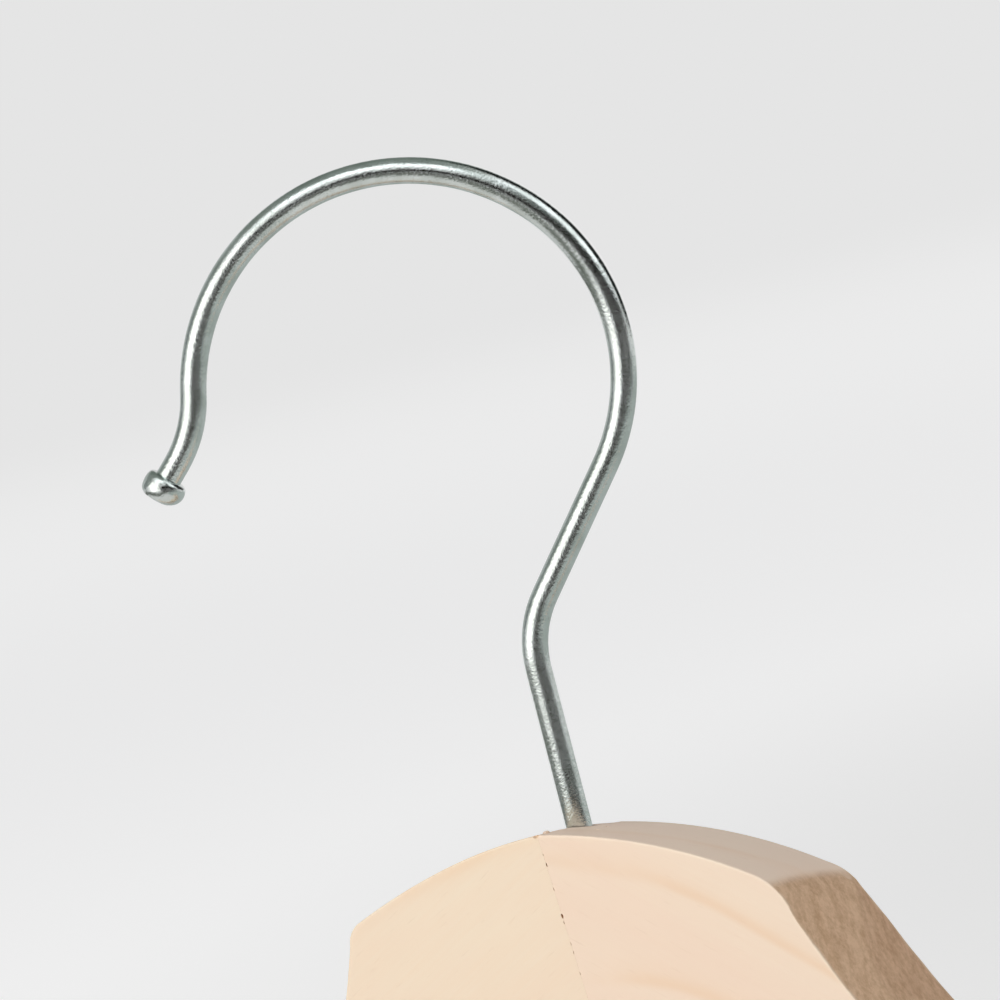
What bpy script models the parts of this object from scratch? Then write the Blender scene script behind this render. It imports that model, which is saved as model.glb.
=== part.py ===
"""Suit hanger: two wooden wings glued at a centre seam, a swivelling wire hook and a trouser bar.

Frame: +Z up, +X towards the right wing, -Y towards the flat front of the head.
The origin is the point of the hook's inner crown that rests on the wardrobe rail.
"""
import math
from collections import namedtuple

import bmesh
import bpy
from mathutils import Matrix, Vector

MM = 0.001

# Fits
SEAT_GAP = 0.3 * MM
CUT_OVERRUN = 2.0 * MM
MERGE_DISTANCE = 0.01 * MM

# Hook wire, as it would be bent: straights, and arcs given by the radius of the wire's centreline
WIRE_RADIUS = 1.75 * MM
STEM_IN_WOOD = 40.0 * MM
STEM_ABOVE_WOOD = 19.9 * MM
NECK_BEND_RADIUS = 14.7 * MM
NECK_BEND_TURN = math.radians(38.9)
NECK_RUN = 18.7 * MM
SIDE_RADIUS = 26.9 * MM
SIDE_TURN = math.radians(77.6)
CROWN_RADIUS = 28.3 * MM
CROWN_TURN = math.radians(128.8)
LEAD_IN_RADIUS = 17.1 * MM
LEAD_IN_TURN = math.radians(31.8)
TIP_RUN = 1.6 * MM
HOOK_REST_TURN = math.radians(31.3)
WIRE_STEP = 2.6 * MM

# Flattened ball on the wire's tip
BALL_RADIUS = 2.95 * MM
BALL_LENGTH = 4.0 * MM
BALL_WIDEST_SHARE = 0.4
BALL_START_SHARE = 0.75
BALL_POLE_SHARE = 0.07
BALL_NECK = 0.2 * MM
BALL_STEPS = 6

# Groove that the lock pin holds, and the lock pin
PIN_RADIUS = 0.9 * MM
GROOVE_RADIUS = 1.05 * MM
GROOVE_DEPTH_BELOW_TOP = 32.0 * MM
GROOVE_EDGE = 0.2 * MM
STEM_END_SHARE = 0.7
LOCK_PIN_SINK = 1.0 * MM
LOCK_PIN_LENGTH = 15.0 * MM
PIN_CHAMFER = 0.25 * MM

# Head: the outline of one half, seen from the front
HEAD_DEPTH = 20.0 * MM
HEAD_HALF_WIDTH = 33.7 * MM
HEAD_CROWN_RADIUS = 84.0 * MM
HEAD_CROWN_TILT = math.radians(4.9)
HEAD_CORNER_RADIUS = 5.5 * MM
HEAD_HEIGHT = 63.0 * MM
HEAD_TOP_FALL = 3.7 * MM
HEAD_CORNER_FALL = 4.9 * MM
SEAM_SLANT = math.radians(3.4)

# Wing: a hollow curve down from the head, then the long shoulder
NECK_CURVE_RADIUS = 54.0 * MM
NECK_START_ANGLE = math.radians(14.5)
NECK_END_ANGLE = math.radians(68.0)
SHOULDER_RADIUS = 800.0 * MM
SHOULDER_TURN = math.radians(11.4)
NECK_HEIGHT = 31.0 * MM
SHOULDER_HEIGHT = 35.0 * MM
NECK_DEPTH = 29.0 * MM
SHOULDER_DEPTH = 44.0 * MM
END_ROUND = 19.0 * MM
WING_SWEEP = 18.0 * MM
SHOULDER_REAR_FALL = 11.0 * MM
EDGE_RADIUS = 1.3 * MM
CROWN_FOOT_SHARE = 0.36
CORNER_FOOT_SHARE = 0.46

# Where the ridge lies across the wing's depth, and how the depth and the rear fall grow, along the neck
NECK_RIDGE_SHARES = ((0.0, 0.93), (0.12, 0.7), (0.35, 0.42), (1.0, 0.36))
NECK_DEPTH_SHARES = ((0.0, 0.0), (0.12, 0.12), (0.35, 0.42), (1.0, 1.0))
NECK_FALL_SHARES = ((0.0, 0.0), (0.35, 0.3), (1.0, 0.6))

# Trouser bar and its sleeve
BAR_RADIUS = 5.5 * MM
BAR_PLACE_SHARE = 0.9
BAR_SEAT = 12.0 * MM
BAR_CHAMFER = 0.8 * MM
SLEEVE_WALL = 1.4 * MM
SLEEVE_RIB = 0.35 * MM
SLEEVE_RIBS = 28
SLEEVE_END_GAP = 6.0 * MM
BAR_PIN_RADIUS = 1.0 * MM
BAR_PIN_SINK = 1.2 * MM
BAR_PIN_BITE = 2.5 * MM

# Dowels across the seam
DOWEL_RADIUS = 3.0 * MM
DOWEL_LENGTH = 26.0 * MM
DOWEL_CHAMFER = 0.6 * MM
DOWEL_PITCH = 9.0 * MM
DOWEL_TOP_MARGIN = 3.0 * MM

# Fineness of round shapes
TURNED_SIDES = 24
CROWN_RIBS = 6
CORNER_RIBS = 4
NECK_RIBS = 9
SHOULDER_RIBS = 9
END_RIBS = 6
EDGE_STEPS = 3
SHARP_ANGLE = math.radians(35)
END_LAST_SHARE = 0.25
LEAST_REACH_SHARE = 0.4
SIDE_REACH_SHARE = 0.45
HALVINGS = 40

WOOD = ("bare_wood", (0.85, 0.68, 0.49, 1.0), 0.62, 0.0)
DOWEL_WOOD = ("dowel_wood", (0.74, 0.56, 0.38, 1.0), 0.7, 0.0)
BAR_WOOD = ("bar_wood", (0.82, 0.64, 0.45, 1.0), 0.6, 0.0)
ZINC = ("plated_wire", (0.62, 0.63, 0.61, 1.0), 0.24, 1.0)
PIN_STEEL = ("pin_steel", (0.45, 0.45, 0.46, 1.0), 0.35, 1.0)
SLEEVE_VINYL = ("sleeve_vinyl", (0.82, 0.80, 0.74, 1.0), 0.4, 0.0)

Rib = namedtuple("Rib", "top foot depth middle ridge fall seam_share")


def clear_scene():
    """Start from an empty scene."""
    for old in list(bpy.data.objects):
        bpy.data.objects.remove(old, do_unlink=True)


def new_collection(name):
    """Make a collection in the scene."""
    made = bpy.data.collections.new(name)
    bpy.context.scene.collection.children.link(made)
    return made


def make_material(name, colour, roughness, metallic):
    """Return one plain surface, made once for each name."""
    if name in bpy.data.materials:
        return bpy.data.materials[name]
    material = bpy.data.materials.new(name)
    material.use_nodes = True
    surface = material.node_tree.nodes["Principled BSDF"]
    surface.inputs["Base Color"].default_value = colour
    surface.inputs["Roughness"].default_value = roughness
    surface.inputs["Metallic"].default_value = metallic
    return material


def place(data, name, collection, parent=None, look=None):
    """Put a mesh or a curve in the scene under its parent."""
    made = bpy.data.objects.new(name, data)
    collection.objects.link(made)
    made.parent = parent
    if look is not None:
        data.materials.append(make_material(*look))
    return made


def place_empty(name, location, collection, turn=0.0):
    """Put an empty in the scene, turned about its own Z."""
    made = bpy.data.objects.new(name, None)
    made.location = location
    made.rotation_euler.z = turn
    collection.objects.link(made)
    return made


def read_share(table, share):
    """Read a table of pairs of shares at one share, straight between its rows."""
    for (low, first), (high, second) in zip(table, table[1:]):
        if share <= high:
            return first + (second - first) * (share - low) / (high - low)
    return table[-1][1]


def turned(name, profile, collection, parent, look):
    """Turn a profile of (radius, height) pairs about Z. It starts and ends on the axis, top first."""
    mesh = bpy.data.meshes.new(name)
    shape = bmesh.new()
    points = [shape.verts.new((radius, 0, height)) for radius, height in profile]
    for first, second in zip(points, points[1:]):
        shape.edges.new((first, second))
    shape.to_mesh(mesh)
    shape.free()
    made = place(mesh, name, collection, parent, look)
    screw = made.modifiers.new("turn", "SCREW")
    screw.steps = TURNED_SIDES
    screw.render_steps = TURNED_SIDES
    screw.use_merge_vertices = True
    screw.merge_threshold = MERGE_DISTANCE
    screw.use_smooth_shade = True
    return made


def rod_profile(radius, length, chamfer):
    """Return the profile of a round rod about its middle, with both ends chamfered."""
    half = length / 2
    return [
        (0, half),
        (radius - chamfer, half),
        (radius, half - chamfer),
        (radius, chamfer - half),
        (radius - chamfer, -half),
        (0, -half),
    ]


def cut(target, cutter):
    """Take the cutter away from the target."""
    step = target.modifiers.new("cut " + cutter.name, "BOOLEAN")
    step.operation = "DIFFERENCE"
    step.solver = "EXACT"
    step.object = cutter


def round_cutter(name, radius, length, centre, axis):
    """Make a round cutter of one length about its centre, along a given axis."""
    mesh = bpy.data.meshes.new(name)
    shape = bmesh.new()
    half_facet = Matrix.Rotation(math.pi / TURNED_SIDES, 4, "Z")
    bmesh.ops.create_cone(
        shape,
        cap_ends=True,
        segments=TURNED_SIDES,
        radius1=radius,
        radius2=radius,
        depth=length,
        matrix=half_facet,
    )
    shape.to_mesh(mesh)
    shape.free()
    made = bpy.data.objects.new(name, mesh)
    made.location = centre
    made.rotation_euler = Vector((0, 0, 1)).rotation_difference(Vector(axis)).to_euler()
    return made


def add_cutter(cutter, cutters, parent):
    """Put a cutter with the others, drawn as wire and left out of the parts."""
    cutters.objects.link(cutter)
    cutter.parent = parent
    cutter.hide_render = True
    cutter.display_type = "WIRE"


class WirePath:
    """A bend plan in the hook's plane: it runs up the stem and is bent left or right."""

    def __init__(self):
        self.across = 0.0
        self.height = 0.0
        self.heading = 0.0
        self.points = [(self.across, self.height)]

    def straight(self, length, count=None):
        """Run on straight, in even steps."""
        count = count or max(1, round(length / (2 * WIRE_STEP)))
        for _ in range(count):
            self.across += math.sin(self.heading) * length / count
            self.height += math.cos(self.heading) * length / count
            self.points.append((self.across, self.height))

    def bend(self, radius, turn):
        """Bend by an angle, to the right where it is positive, and return the bend's centre."""
        side = math.copysign(1, turn)
        centre_across = self.across + math.cos(self.heading) * radius * side
        centre_height = self.height - math.sin(self.heading) * radius * side
        count = max(3, round(radius * abs(turn) / WIRE_STEP))
        for _ in range(count):
            self.heading += turn / count
            self.across = centre_across - math.cos(self.heading) * radius * side
            self.height = centre_height + math.sin(self.heading) * radius * side
            self.points.append((self.across, self.height))
        return centre_across, centre_height


def hook_route():
    """Return the wire's centreline above the wood with its ball, and the crown's centre."""
    path = WirePath()
    path.straight(STEM_ABOVE_WOOD)
    path.bend(NECK_BEND_RADIUS, NECK_BEND_TURN)
    path.straight(NECK_RUN)
    path.bend(SIDE_RADIUS, -SIDE_TURN)
    crown = path.bend(CROWN_RADIUS, -CROWN_TURN)
    path.bend(LEAD_IN_RADIUS, LEAD_IN_TURN)
    path.straight(TIP_RUN, 1)
    wire = [(across, height, WIRE_RADIUS) for across, height in path.points]
    widest = BALL_LENGTH * BALL_WIDEST_SHARE
    half_before = widest / math.sqrt(1 - BALL_START_SHARE**2)
    half_after = BALL_LENGTH - widest
    for step in range(BALL_STEPS + 1):
        run = BALL_LENGTH * (1 - math.cos(math.pi * step / BALL_STEPS)) / 2
        half = half_before if run < widest else half_after
        around = math.sqrt(max(0.0, 1 - ((run - widest) / half) ** 2))
        across = path.across + math.sin(path.heading) * (run + BALL_NECK)
        height = path.height + math.cos(path.heading) * (run + BALL_NECK)
        wire.append((across, height, BALL_RADIUS * max(around, BALL_POLE_SHARE)))
    return wire, crown


def stem_in_wood():
    """Return the wire's centreline inside the wood, bottom first, with the pin's groove."""
    half_groove = PIN_RADIUS + SEAT_GAP
    rows = [
        (-STEM_IN_WOOD, WIRE_RADIUS * STEM_END_SHARE),
        (-STEM_IN_WOOD + WIRE_RADIUS * (1 - STEM_END_SHARE), WIRE_RADIUS),
        (-GROOVE_DEPTH_BELOW_TOP - half_groove - GROOVE_EDGE, WIRE_RADIUS),
        (-GROOVE_DEPTH_BELOW_TOP - half_groove, GROOVE_RADIUS),
        (-GROOVE_DEPTH_BELOW_TOP + half_groove, GROOVE_RADIUS),
        (-GROOVE_DEPTH_BELOW_TOP + half_groove + GROOVE_EDGE, WIRE_RADIUS),
    ]
    return [(0, height, radius) for height, radius in rows]


def build_hook(collection, parent):
    """Bend the wire: one tube from its end in the wood to its ball."""
    above, _ = hook_route()
    rows = stem_in_wood() + above
    curve = bpy.data.curves.new("hook", "CURVE")
    curve.dimensions = "3D"
    curve.bevel_depth = WIRE_RADIUS
    curve.bevel_resolution = 4
    curve.use_fill_caps = True
    spline = curve.splines.new("POLY")
    spline.points.add(len(rows) - 1)
    for point, (across, height, radius) in zip(spline.points, rows):
        point.co = (across, 0, height, 1)
        point.radius = radius / WIRE_RADIUS
    spline.use_smooth = True
    return place(curve, "hook", collection, parent, ZINC)


def crown_point(share):
    """Return a point on the head's top edge, from the seam (0) to the sharp corner (1)."""
    start = math.sin(HEAD_CROWN_TILT)
    across = HEAD_HALF_WIDTH * share
    tilt = math.asin(start + across / HEAD_CROWN_RADIUS)
    return across, -HEAD_CROWN_RADIUS * (math.cos(HEAD_CROWN_TILT) - math.cos(tilt)), tilt


def neck_point(share):
    """Return a point on the hollow side of the head and neck, from the sharp corner (0) on."""
    _, corner, _ = crown_point(1)
    angle = NECK_START_ANGLE + (NECK_END_ANGLE - NECK_START_ANGLE) * share
    across = HEAD_HALF_WIDTH + NECK_CURVE_RADIUS * (math.cos(NECK_START_ANGLE) - math.cos(angle))
    return across, corner - NECK_CURVE_RADIUS * (math.sin(angle) - math.sin(NECK_START_ANGLE))


def shoulder_point(share):
    """Return a point on the shoulder's top edge and its slope below level."""
    across, height = neck_point(1)
    start = math.pi / 2 - NECK_END_ANGLE
    slope = start + SHOULDER_TURN * share
    across += SHOULDER_RADIUS * (math.sin(slope) - math.sin(start))
    height -= SHOULDER_RADIUS * (math.cos(start) - math.cos(slope))
    return across, height, slope


def arch_point(share):
    """Return a point on the wing's lower edge, from the seam (0) to the end of the neck (1)."""
    across, height, slope = shoulder_point(0)
    end_across = across - NECK_HEIGHT * math.sin(slope)
    end_height = height - NECK_HEIGHT * math.cos(slope)
    radius = end_across / math.sin(slope)
    angle = math.asin(math.sin(slope) * share)
    rise = (-HEAD_HEIGHT - end_height) / (1 - math.cos(slope)) / radius
    return end_across * share, -HEAD_HEIGHT - rise * radius * (1 - math.cos(angle))


def front_offset(across):
    """Return how far the wing's front stands forward of the head's flat front."""
    reach = shoulder_point(1)[0] - HEAD_HALF_WIDTH
    share = max(0.0, (across - HEAD_HALF_WIDTH) / reach)
    return WING_SWEEP * share**2


def head_ribs():
    """Return the ribs of the head, from the seam round its corner."""
    ridge = NECK_RIDGE_SHARES[0][1]
    side_tilt = math.pi / 2 - NECK_START_ANGLE
    sharp_tilt = crown_point(1)[2]
    reach = HEAD_CORNER_RADIUS * math.tan((side_tilt - sharp_tilt) / 2) * math.cos(sharp_tilt)
    ribs = []
    for step in range(CROWN_RIBS + 1):
        share = step / CROWN_RIBS
        across, height, tilt = crown_point(share * (1 - reach / HEAD_HALF_WIDTH))
        foot = arch_point(CROWN_FOOT_SHARE * share)
        fall = HEAD_TOP_FALL + (HEAD_CORNER_FALL - HEAD_TOP_FALL) * share
        ribs.append(Rib((across, height), foot, HEAD_DEPTH, 0, ridge, fall, 1 - share))
    across -= HEAD_CORNER_RADIUS * math.sin(tilt)
    height -= HEAD_CORNER_RADIUS * math.cos(tilt)
    for step in range(1, CORNER_RIBS + 1):
        share = step / CORNER_RIBS
        angle = tilt + (side_tilt - tilt) * share
        top = (across + HEAD_CORNER_RADIUS * math.sin(angle), height + HEAD_CORNER_RADIUS * math.cos(angle))
        foot = arch_point(CROWN_FOOT_SHARE + (CORNER_FOOT_SHARE - CROWN_FOOT_SHARE) * share)
        ribs.append(Rib(top, foot, HEAD_DEPTH, 0, ridge, HEAD_CORNER_FALL, 0))
    return ribs


def neck_ribs():
    """Return the ribs down the hollow neck, where the rear flares and the ridge moves to the front."""
    ribs = []
    for step in range(1, NECK_RIBS + 1):
        share = step / NECK_RIBS
        foot = arch_point(CORNER_FOOT_SHARE + (1 - CORNER_FOOT_SHARE) * share)
        depth = HEAD_DEPTH + (NECK_DEPTH - HEAD_DEPTH) * read_share(NECK_DEPTH_SHARES, share)
        fall_share = read_share(NECK_FALL_SHARES, share)
        fall = HEAD_CORNER_FALL + (SHOULDER_REAR_FALL - HEAD_CORNER_FALL) * fall_share
        ridge = read_share(NECK_RIDGE_SHARES, share)
        ribs.append(Rib(neck_point(share), foot, depth, (depth - HEAD_DEPTH) / 2, ridge, fall, 0))
    return ribs


def shoulder_ribs(neck):
    """Return the ribs along the shoulder, which go on from the neck's last rib."""
    ribs = []
    for step in range(1, SHOULDER_RIBS + 1):
        share = step / SHOULDER_RIBS
        across, height, slope = shoulder_point(share)
        tall = shoulder_height(share)
        foot = (across - tall * math.sin(slope), height - tall * math.cos(slope))
        depth = shoulder_depth(share)
        fall = neck.fall + (SHOULDER_REAR_FALL - neck.fall) * share
        ribs.append(Rib((across, height), foot, depth, (depth - HEAD_DEPTH) / 2, neck.ridge, fall, 0))
    return ribs


def end_ribs(last):
    """Return the shrinking ribs that round the shoulder's end off."""
    _, _, slope = shoulder_point(1)
    along = Vector((math.cos(slope), -math.sin(slope)))
    centre = (Vector(last.top) + Vector(last.foot)) / 2
    ribs = []
    for step in range(1, END_RIBS + 1):
        angle = math.acos(END_LAST_SHARE) * step / END_RIBS
        size = math.cos(angle)
        moved = centre + along * END_ROUND * math.sin(angle)
        top = moved + (Vector(last.top) - centre) * size
        foot = moved + (Vector(last.foot) - centre) * size
        ribs.append(Rib(top, foot, last.depth * size, last.middle, last.ridge, last.fall * size, 0))
    return ribs


def wing_ribs():
    """Return all of a wing's ribs, from the seam out."""
    ribs = head_ribs() + neck_ribs()
    ribs += shoulder_ribs(ribs[-1])
    return ribs + end_ribs(ribs[-1])


def shoulder_height(share):
    """Return how tall the wing is across its slope, along the shoulder."""
    return NECK_HEIGHT + (SHOULDER_HEIGHT - NECK_HEIGHT) * share


def shoulder_depth(share):
    """Return how deep the wing is from front to back, along the shoulder."""
    return NECK_DEPTH + (SHOULDER_DEPTH - NECK_DEPTH) * share


def round_corners(corners, radius):
    """Round each corner of a closed outline with short steps, as far as its sides allow."""
    outline = []
    for index, corner in enumerate(corners):
        before = corners[index - 1] - corner
        after = corners[(index + 1) % len(corners)] - corner
        wanted = max(radius / math.tan(before.angle(after) / 2), radius * LEAST_REACH_SHARE)
        reach = min(wanted, before.length * SIDE_REACH_SHARE, after.length * SIDE_REACH_SHARE)
        first = corner + before.normalized() * reach
        last = corner + after.normalized() * reach
        for step in range(EDGE_STEPS + 1):
            share = step / EDGE_STEPS
            on_first = first.lerp(corner, share)
            outline.append(on_first.lerp(corner.lerp(last, share), share))
    return outline


def rib_outline(rib):
    """Return the points round one rib: front foot, front top, ridge, rear top, rear foot."""
    top, foot = Vector(rib.top), Vector(rib.foot)
    tall = (top - foot).length
    ridge_fall = min(HEAD_TOP_FALL, rib.fall) * rib.ridge
    corners = [
        Vector((0, 0)),
        Vector((tall, 0)),
        Vector((tall - ridge_fall, rib.depth * rib.ridge)),
        Vector((tall - rib.fall, rib.depth)),
        Vector((0, rib.depth)),
    ]
    up = (top - foot) / tall
    points = []
    for height, deep in round_corners(corners, EDGE_RADIUS):
        spot = foot + up * height
        points.append((spot.x, rib.middle + deep - rib.depth / 2, spot.y))
    return points


def wing_points(side):
    """Return every rib's points for the wing on one side (1 right, -1 left)."""
    rows = []
    for rib in wing_ribs():
        forward = front_offset(rib.top[0])
        row = []
        for across, deep, height in rib_outline(rib):
            across = side * (across + rib.seam_share * SEAT_GAP / 2)
            across -= rib.seam_share * math.tan(SEAM_SLANT) * height
            row.append((across, deep - forward, height))
        rows.append(row)
    return rows


def build_wing(name, side, collection, parent):
    """Loft one wing through its ribs, from the seam to the shoulder's end."""
    mesh = bpy.data.meshes.new(name)
    shape = bmesh.new()
    rows = [[shape.verts.new(point) for point in row] for row in wing_points(side)]
    shape.faces.new(rows[0])
    shape.faces.new(rows[-1])
    for first, second in zip(rows, rows[1:]):
        for index in range(len(first)):
            following = (index + 1) % len(first)
            shape.faces.new((first[index], first[following], second[following], second[index]))
    bmesh.ops.recalc_face_normals(shape, faces=shape.faces)
    shape.to_mesh(mesh)
    shape.free()
    mesh.shade_smooth()
    mesh.set_sharp_from_angle(angle=SHARP_ANGLE)
    return place(mesh, name, collection, parent, WOOD)


def lower_edge_share(height):
    """Return the share along the shoulder at which the wing's lower edge crosses a height."""
    low, high = 0.0, 1.0
    for _ in range(HALVINGS):
        share = (low + high) / 2
        _, top, slope = shoulder_point(share)
        if top - shoulder_height(share) * math.cos(slope) > height:
            low = share
        else:
            high = share
    return share


def lower_edge_across(height):
    """Return how far out the wing's lower edge crosses a height."""
    share = lower_edge_share(height)
    across, _, slope = shoulder_point(share)
    return across - shoulder_height(share) * math.sin(slope)


def bar_height():
    """Return the height of the bar's axis, where it meets the wings' lower edge."""
    _, top, slope = shoulder_point(BAR_PLACE_SHARE)
    return top - shoulder_height(BAR_PLACE_SHARE) * math.cos(slope)


def bar_half_length():
    """Return half the bar's length: to where it is fully inside the wing, and its seat."""
    return lower_edge_across(bar_height() - BAR_RADIUS) + BAR_SEAT


def bar_middle():
    """Return the middle of the wings' depth where the bar enters, behind the stem."""
    forward = front_offset(shoulder_point(BAR_PLACE_SHARE)[0])
    return (shoulder_depth(BAR_PLACE_SHARE) - HEAD_DEPTH) / 2 - forward


def build_bar(parts, cutters, parent, wings):
    """Turn the trouser bar, and bore its seat in each wing."""
    half = bar_half_length()
    bar = turned("trouser_bar", rod_profile(BAR_RADIUS, 2 * half, BAR_CHAMFER), parts, parent, BAR_WOOD)
    bar.location = (0, bar_middle(), bar_height())
    bar.rotation_euler.y = math.pi / 2
    first = lower_edge_across(bar_height() + BAR_RADIUS) - CUT_OVERRUN - BAR_RADIUS
    last = half + SEAT_GAP
    for side, wing in wings.items():
        centre = (side * (first + last) / 2, bar_middle(), bar_height())
        bore = round_cutter("bar_bore_" + wing.name, BAR_RADIUS + SEAT_GAP, last - first, centre, (1, 0, 0))
        add_cutter(bore, cutters, parent)
        cut(wing, bore)
    return bar


def build_bar_pins(parts, cutters, parent, wings, bar):
    """Drive a pin from the rear through each wing and the bar's end."""
    rear = bar_middle() + shoulder_depth(BAR_PLACE_SHARE) / 2
    first = bar_middle() - BAR_RADIUS - BAR_PIN_BITE
    last = rear - BAR_PIN_SINK
    for side, wing in wings.items():
        across = side * (bar_half_length() - BAR_SEAT / 2)
        name = wing.name.replace("wing", "bar_pin")
        pin = turned(name, rod_profile(BAR_PIN_RADIUS, last - first, PIN_CHAMFER), parts, parent, PIN_STEEL)
        pin.location = (across, (first + last) / 2, bar_height())
        pin.rotation_euler.x = math.pi / 2
        start = first - SEAT_GAP
        end = rear + CUT_OVERRUN
        centre = (across, (start + end) / 2, bar_height())
        bore = round_cutter("bore_" + name, BAR_PIN_RADIUS + SEAT_GAP, end - start, centre, (0, 1, 0))
        add_cutter(bore, cutters, parent)
        cut(wing, bore)
        cut(bar, bore)


def build_sleeve(parts, parent):
    """Extrude the ribbed sleeve that is slipped over the bar between the wings."""
    inner = BAR_RADIUS + SEAT_GAP
    outer = inner + SLEEVE_WALL
    half = lower_edge_across(bar_height() + outer + SLEEVE_RIB) - SLEEVE_END_GAP
    curve = bpy.data.curves.new("bar_sleeve", "CURVE")
    curve.dimensions = "2D"
    curve.fill_mode = "BOTH"
    curve.extrude = half
    ribbed = [outer + SLEEVE_RIB * (1 - step % 2) for step in range(2 * SLEEVE_RIBS)]
    for radii in (ribbed, [inner] * TURNED_SIDES):
        spline = curve.splines.new("POLY")
        spline.points.add(len(radii) - 1)
        for step, (point, radius) in enumerate(zip(spline.points, radii)):
            angle = 2 * math.pi * step / len(radii)
            point.co = (radius * math.cos(angle), radius * math.sin(angle), 0, 1)
        spline.use_cyclic_u = True
    sleeve = place(curve, "bar_sleeve", parts, parent, SLEEVE_VINYL)
    sleeve.location = (0, bar_middle(), bar_height())
    sleeve.rotation_euler.y = math.pi / 2


def build_dowels(parts, cutters, parent, wings):
    """Set two dowels across the seam under the hook's bore."""
    for count, name in enumerate(("upper_seam_dowel", "lower_seam_dowel")):
        height = -STEM_IN_WOOD - DOWEL_TOP_MARGIN - DOWEL_RADIUS - count * DOWEL_PITCH
        centre = (-height * math.tan(SEAM_SLANT), 0, height)
        profile = rod_profile(DOWEL_RADIUS, DOWEL_LENGTH, DOWEL_CHAMFER)
        dowel = turned(name, profile, parts, parent, DOWEL_WOOD)
        dowel.location = centre
        dowel.rotation_euler.y = math.pi / 2
        length = DOWEL_LENGTH + 2 * SEAT_GAP
        bore = round_cutter("bore_" + name, DOWEL_RADIUS + SEAT_GAP, length, centre, (1, 0, 0))
        add_cutter(bore, cutters, parent)
        for wing in wings.values():
            cut(wing, bore)


def build_lock_pin(parts, cutters, parent, wings):
    """Bore the hook's hole, and drive the pin past the hook's groove from the rear of the head."""
    bottom = -STEM_IN_WOOD - SEAT_GAP
    centre = (0, 0, (bottom + CUT_OVERRUN) / 2)
    bore = round_cutter("hook_bore", WIRE_RADIUS + SEAT_GAP, CUT_OVERRUN - bottom, centre, (0, 0, 1))
    add_cutter(bore, cutters, parent)
    for wing in wings.values():
        cut(wing, bore)
    across = -(GROOVE_RADIUS + SEAT_GAP + PIN_RADIUS)
    rear = HEAD_DEPTH / 2
    last = rear - LOCK_PIN_SINK
    first = last - LOCK_PIN_LENGTH
    profile = rod_profile(PIN_RADIUS, LOCK_PIN_LENGTH, PIN_CHAMFER)
    pin = turned("hook_lock_pin", profile, parts, parent, PIN_STEEL)
    pin.location = (across, (first + last) / 2, -GROOVE_DEPTH_BELOW_TOP)
    pin.rotation_euler.x = math.pi / 2
    start = first - SEAT_GAP
    end = rear + CUT_OVERRUN
    centre = (across, (start + end) / 2, -GROOVE_DEPTH_BELOW_TOP)
    hole = round_cutter("bore_lock_pin", PIN_RADIUS + SEAT_GAP, end - start, centre, (0, 1, 0))
    add_cutter(hole, cutters, parent)
    cut(wings[-1], hole)


def main():
    clear_scene()
    parts = new_collection("suit_hanger")
    cutters = new_collection("cutters")
    _, crown = hook_route()
    to_rail = crown[1] + CROWN_RADIUS - WIRE_RADIUS
    stem = (-crown[0] * math.cos(HOOK_REST_TURN), -crown[0] * math.sin(HOOK_REST_TURN), -to_rail)
    hook_axis = place_empty("hook_axis", stem, parts, HOOK_REST_TURN)
    wood_axis = place_empty("wood_axis", stem, parts)
    build_hook(parts, hook_axis)
    wings = {}
    for name, side in (("left_wing", -1), ("right_wing", 1)):
        wings[side] = build_wing(name, side, parts, wood_axis)
    build_lock_pin(parts, cutters, wood_axis, wings)
    build_dowels(parts, cutters, wood_axis, wings)
    bar = build_bar(parts, cutters, wood_axis, wings)
    build_bar_pins(parts, cutters, wood_axis, wings, bar)
    build_sleeve(parts, wood_axis)
    print("stem axis at", [round(value / MM, 2) for value in stem], "mm")
    print("bar", round(2 * bar_half_length() / MM, 1), "mm long")


main()
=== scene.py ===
# %% [markdown]
# # A wooden suit hanger, from its bent wire to its bare wood
# The hanger is already solved as a mechanism: ten pieces, each in its right place, and a hook that swivels.
# Here each piece gets the shape and the finish that the eye sees: sanded edges, grain, drawn wire. The packed
# hanger is loaded first, because it says where everything is.

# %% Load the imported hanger
import math

import bmesh
import bpy
from mathutils import Euler, Matrix, Vector


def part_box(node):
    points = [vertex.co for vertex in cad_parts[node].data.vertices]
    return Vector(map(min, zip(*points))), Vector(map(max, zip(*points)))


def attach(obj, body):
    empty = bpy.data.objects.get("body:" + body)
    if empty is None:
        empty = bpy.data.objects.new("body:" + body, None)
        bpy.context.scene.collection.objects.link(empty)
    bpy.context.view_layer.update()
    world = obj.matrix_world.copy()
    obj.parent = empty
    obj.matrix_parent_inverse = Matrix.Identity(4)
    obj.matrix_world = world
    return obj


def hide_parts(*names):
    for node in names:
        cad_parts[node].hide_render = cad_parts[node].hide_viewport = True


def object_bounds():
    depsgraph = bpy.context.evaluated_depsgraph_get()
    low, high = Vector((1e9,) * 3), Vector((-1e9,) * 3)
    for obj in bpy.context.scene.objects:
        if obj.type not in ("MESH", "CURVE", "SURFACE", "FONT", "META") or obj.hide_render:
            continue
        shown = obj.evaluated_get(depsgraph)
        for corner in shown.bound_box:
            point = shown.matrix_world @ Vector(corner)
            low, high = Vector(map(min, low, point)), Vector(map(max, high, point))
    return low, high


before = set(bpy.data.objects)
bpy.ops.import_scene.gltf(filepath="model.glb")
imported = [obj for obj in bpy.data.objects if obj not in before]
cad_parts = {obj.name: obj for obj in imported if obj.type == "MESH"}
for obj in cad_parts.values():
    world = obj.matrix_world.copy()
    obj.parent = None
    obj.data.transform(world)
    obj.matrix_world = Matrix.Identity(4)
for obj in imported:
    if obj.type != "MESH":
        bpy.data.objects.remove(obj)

MM = 0.001
packed_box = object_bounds()
print("pieces:", ", ".join(sorted(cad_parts)))
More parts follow.
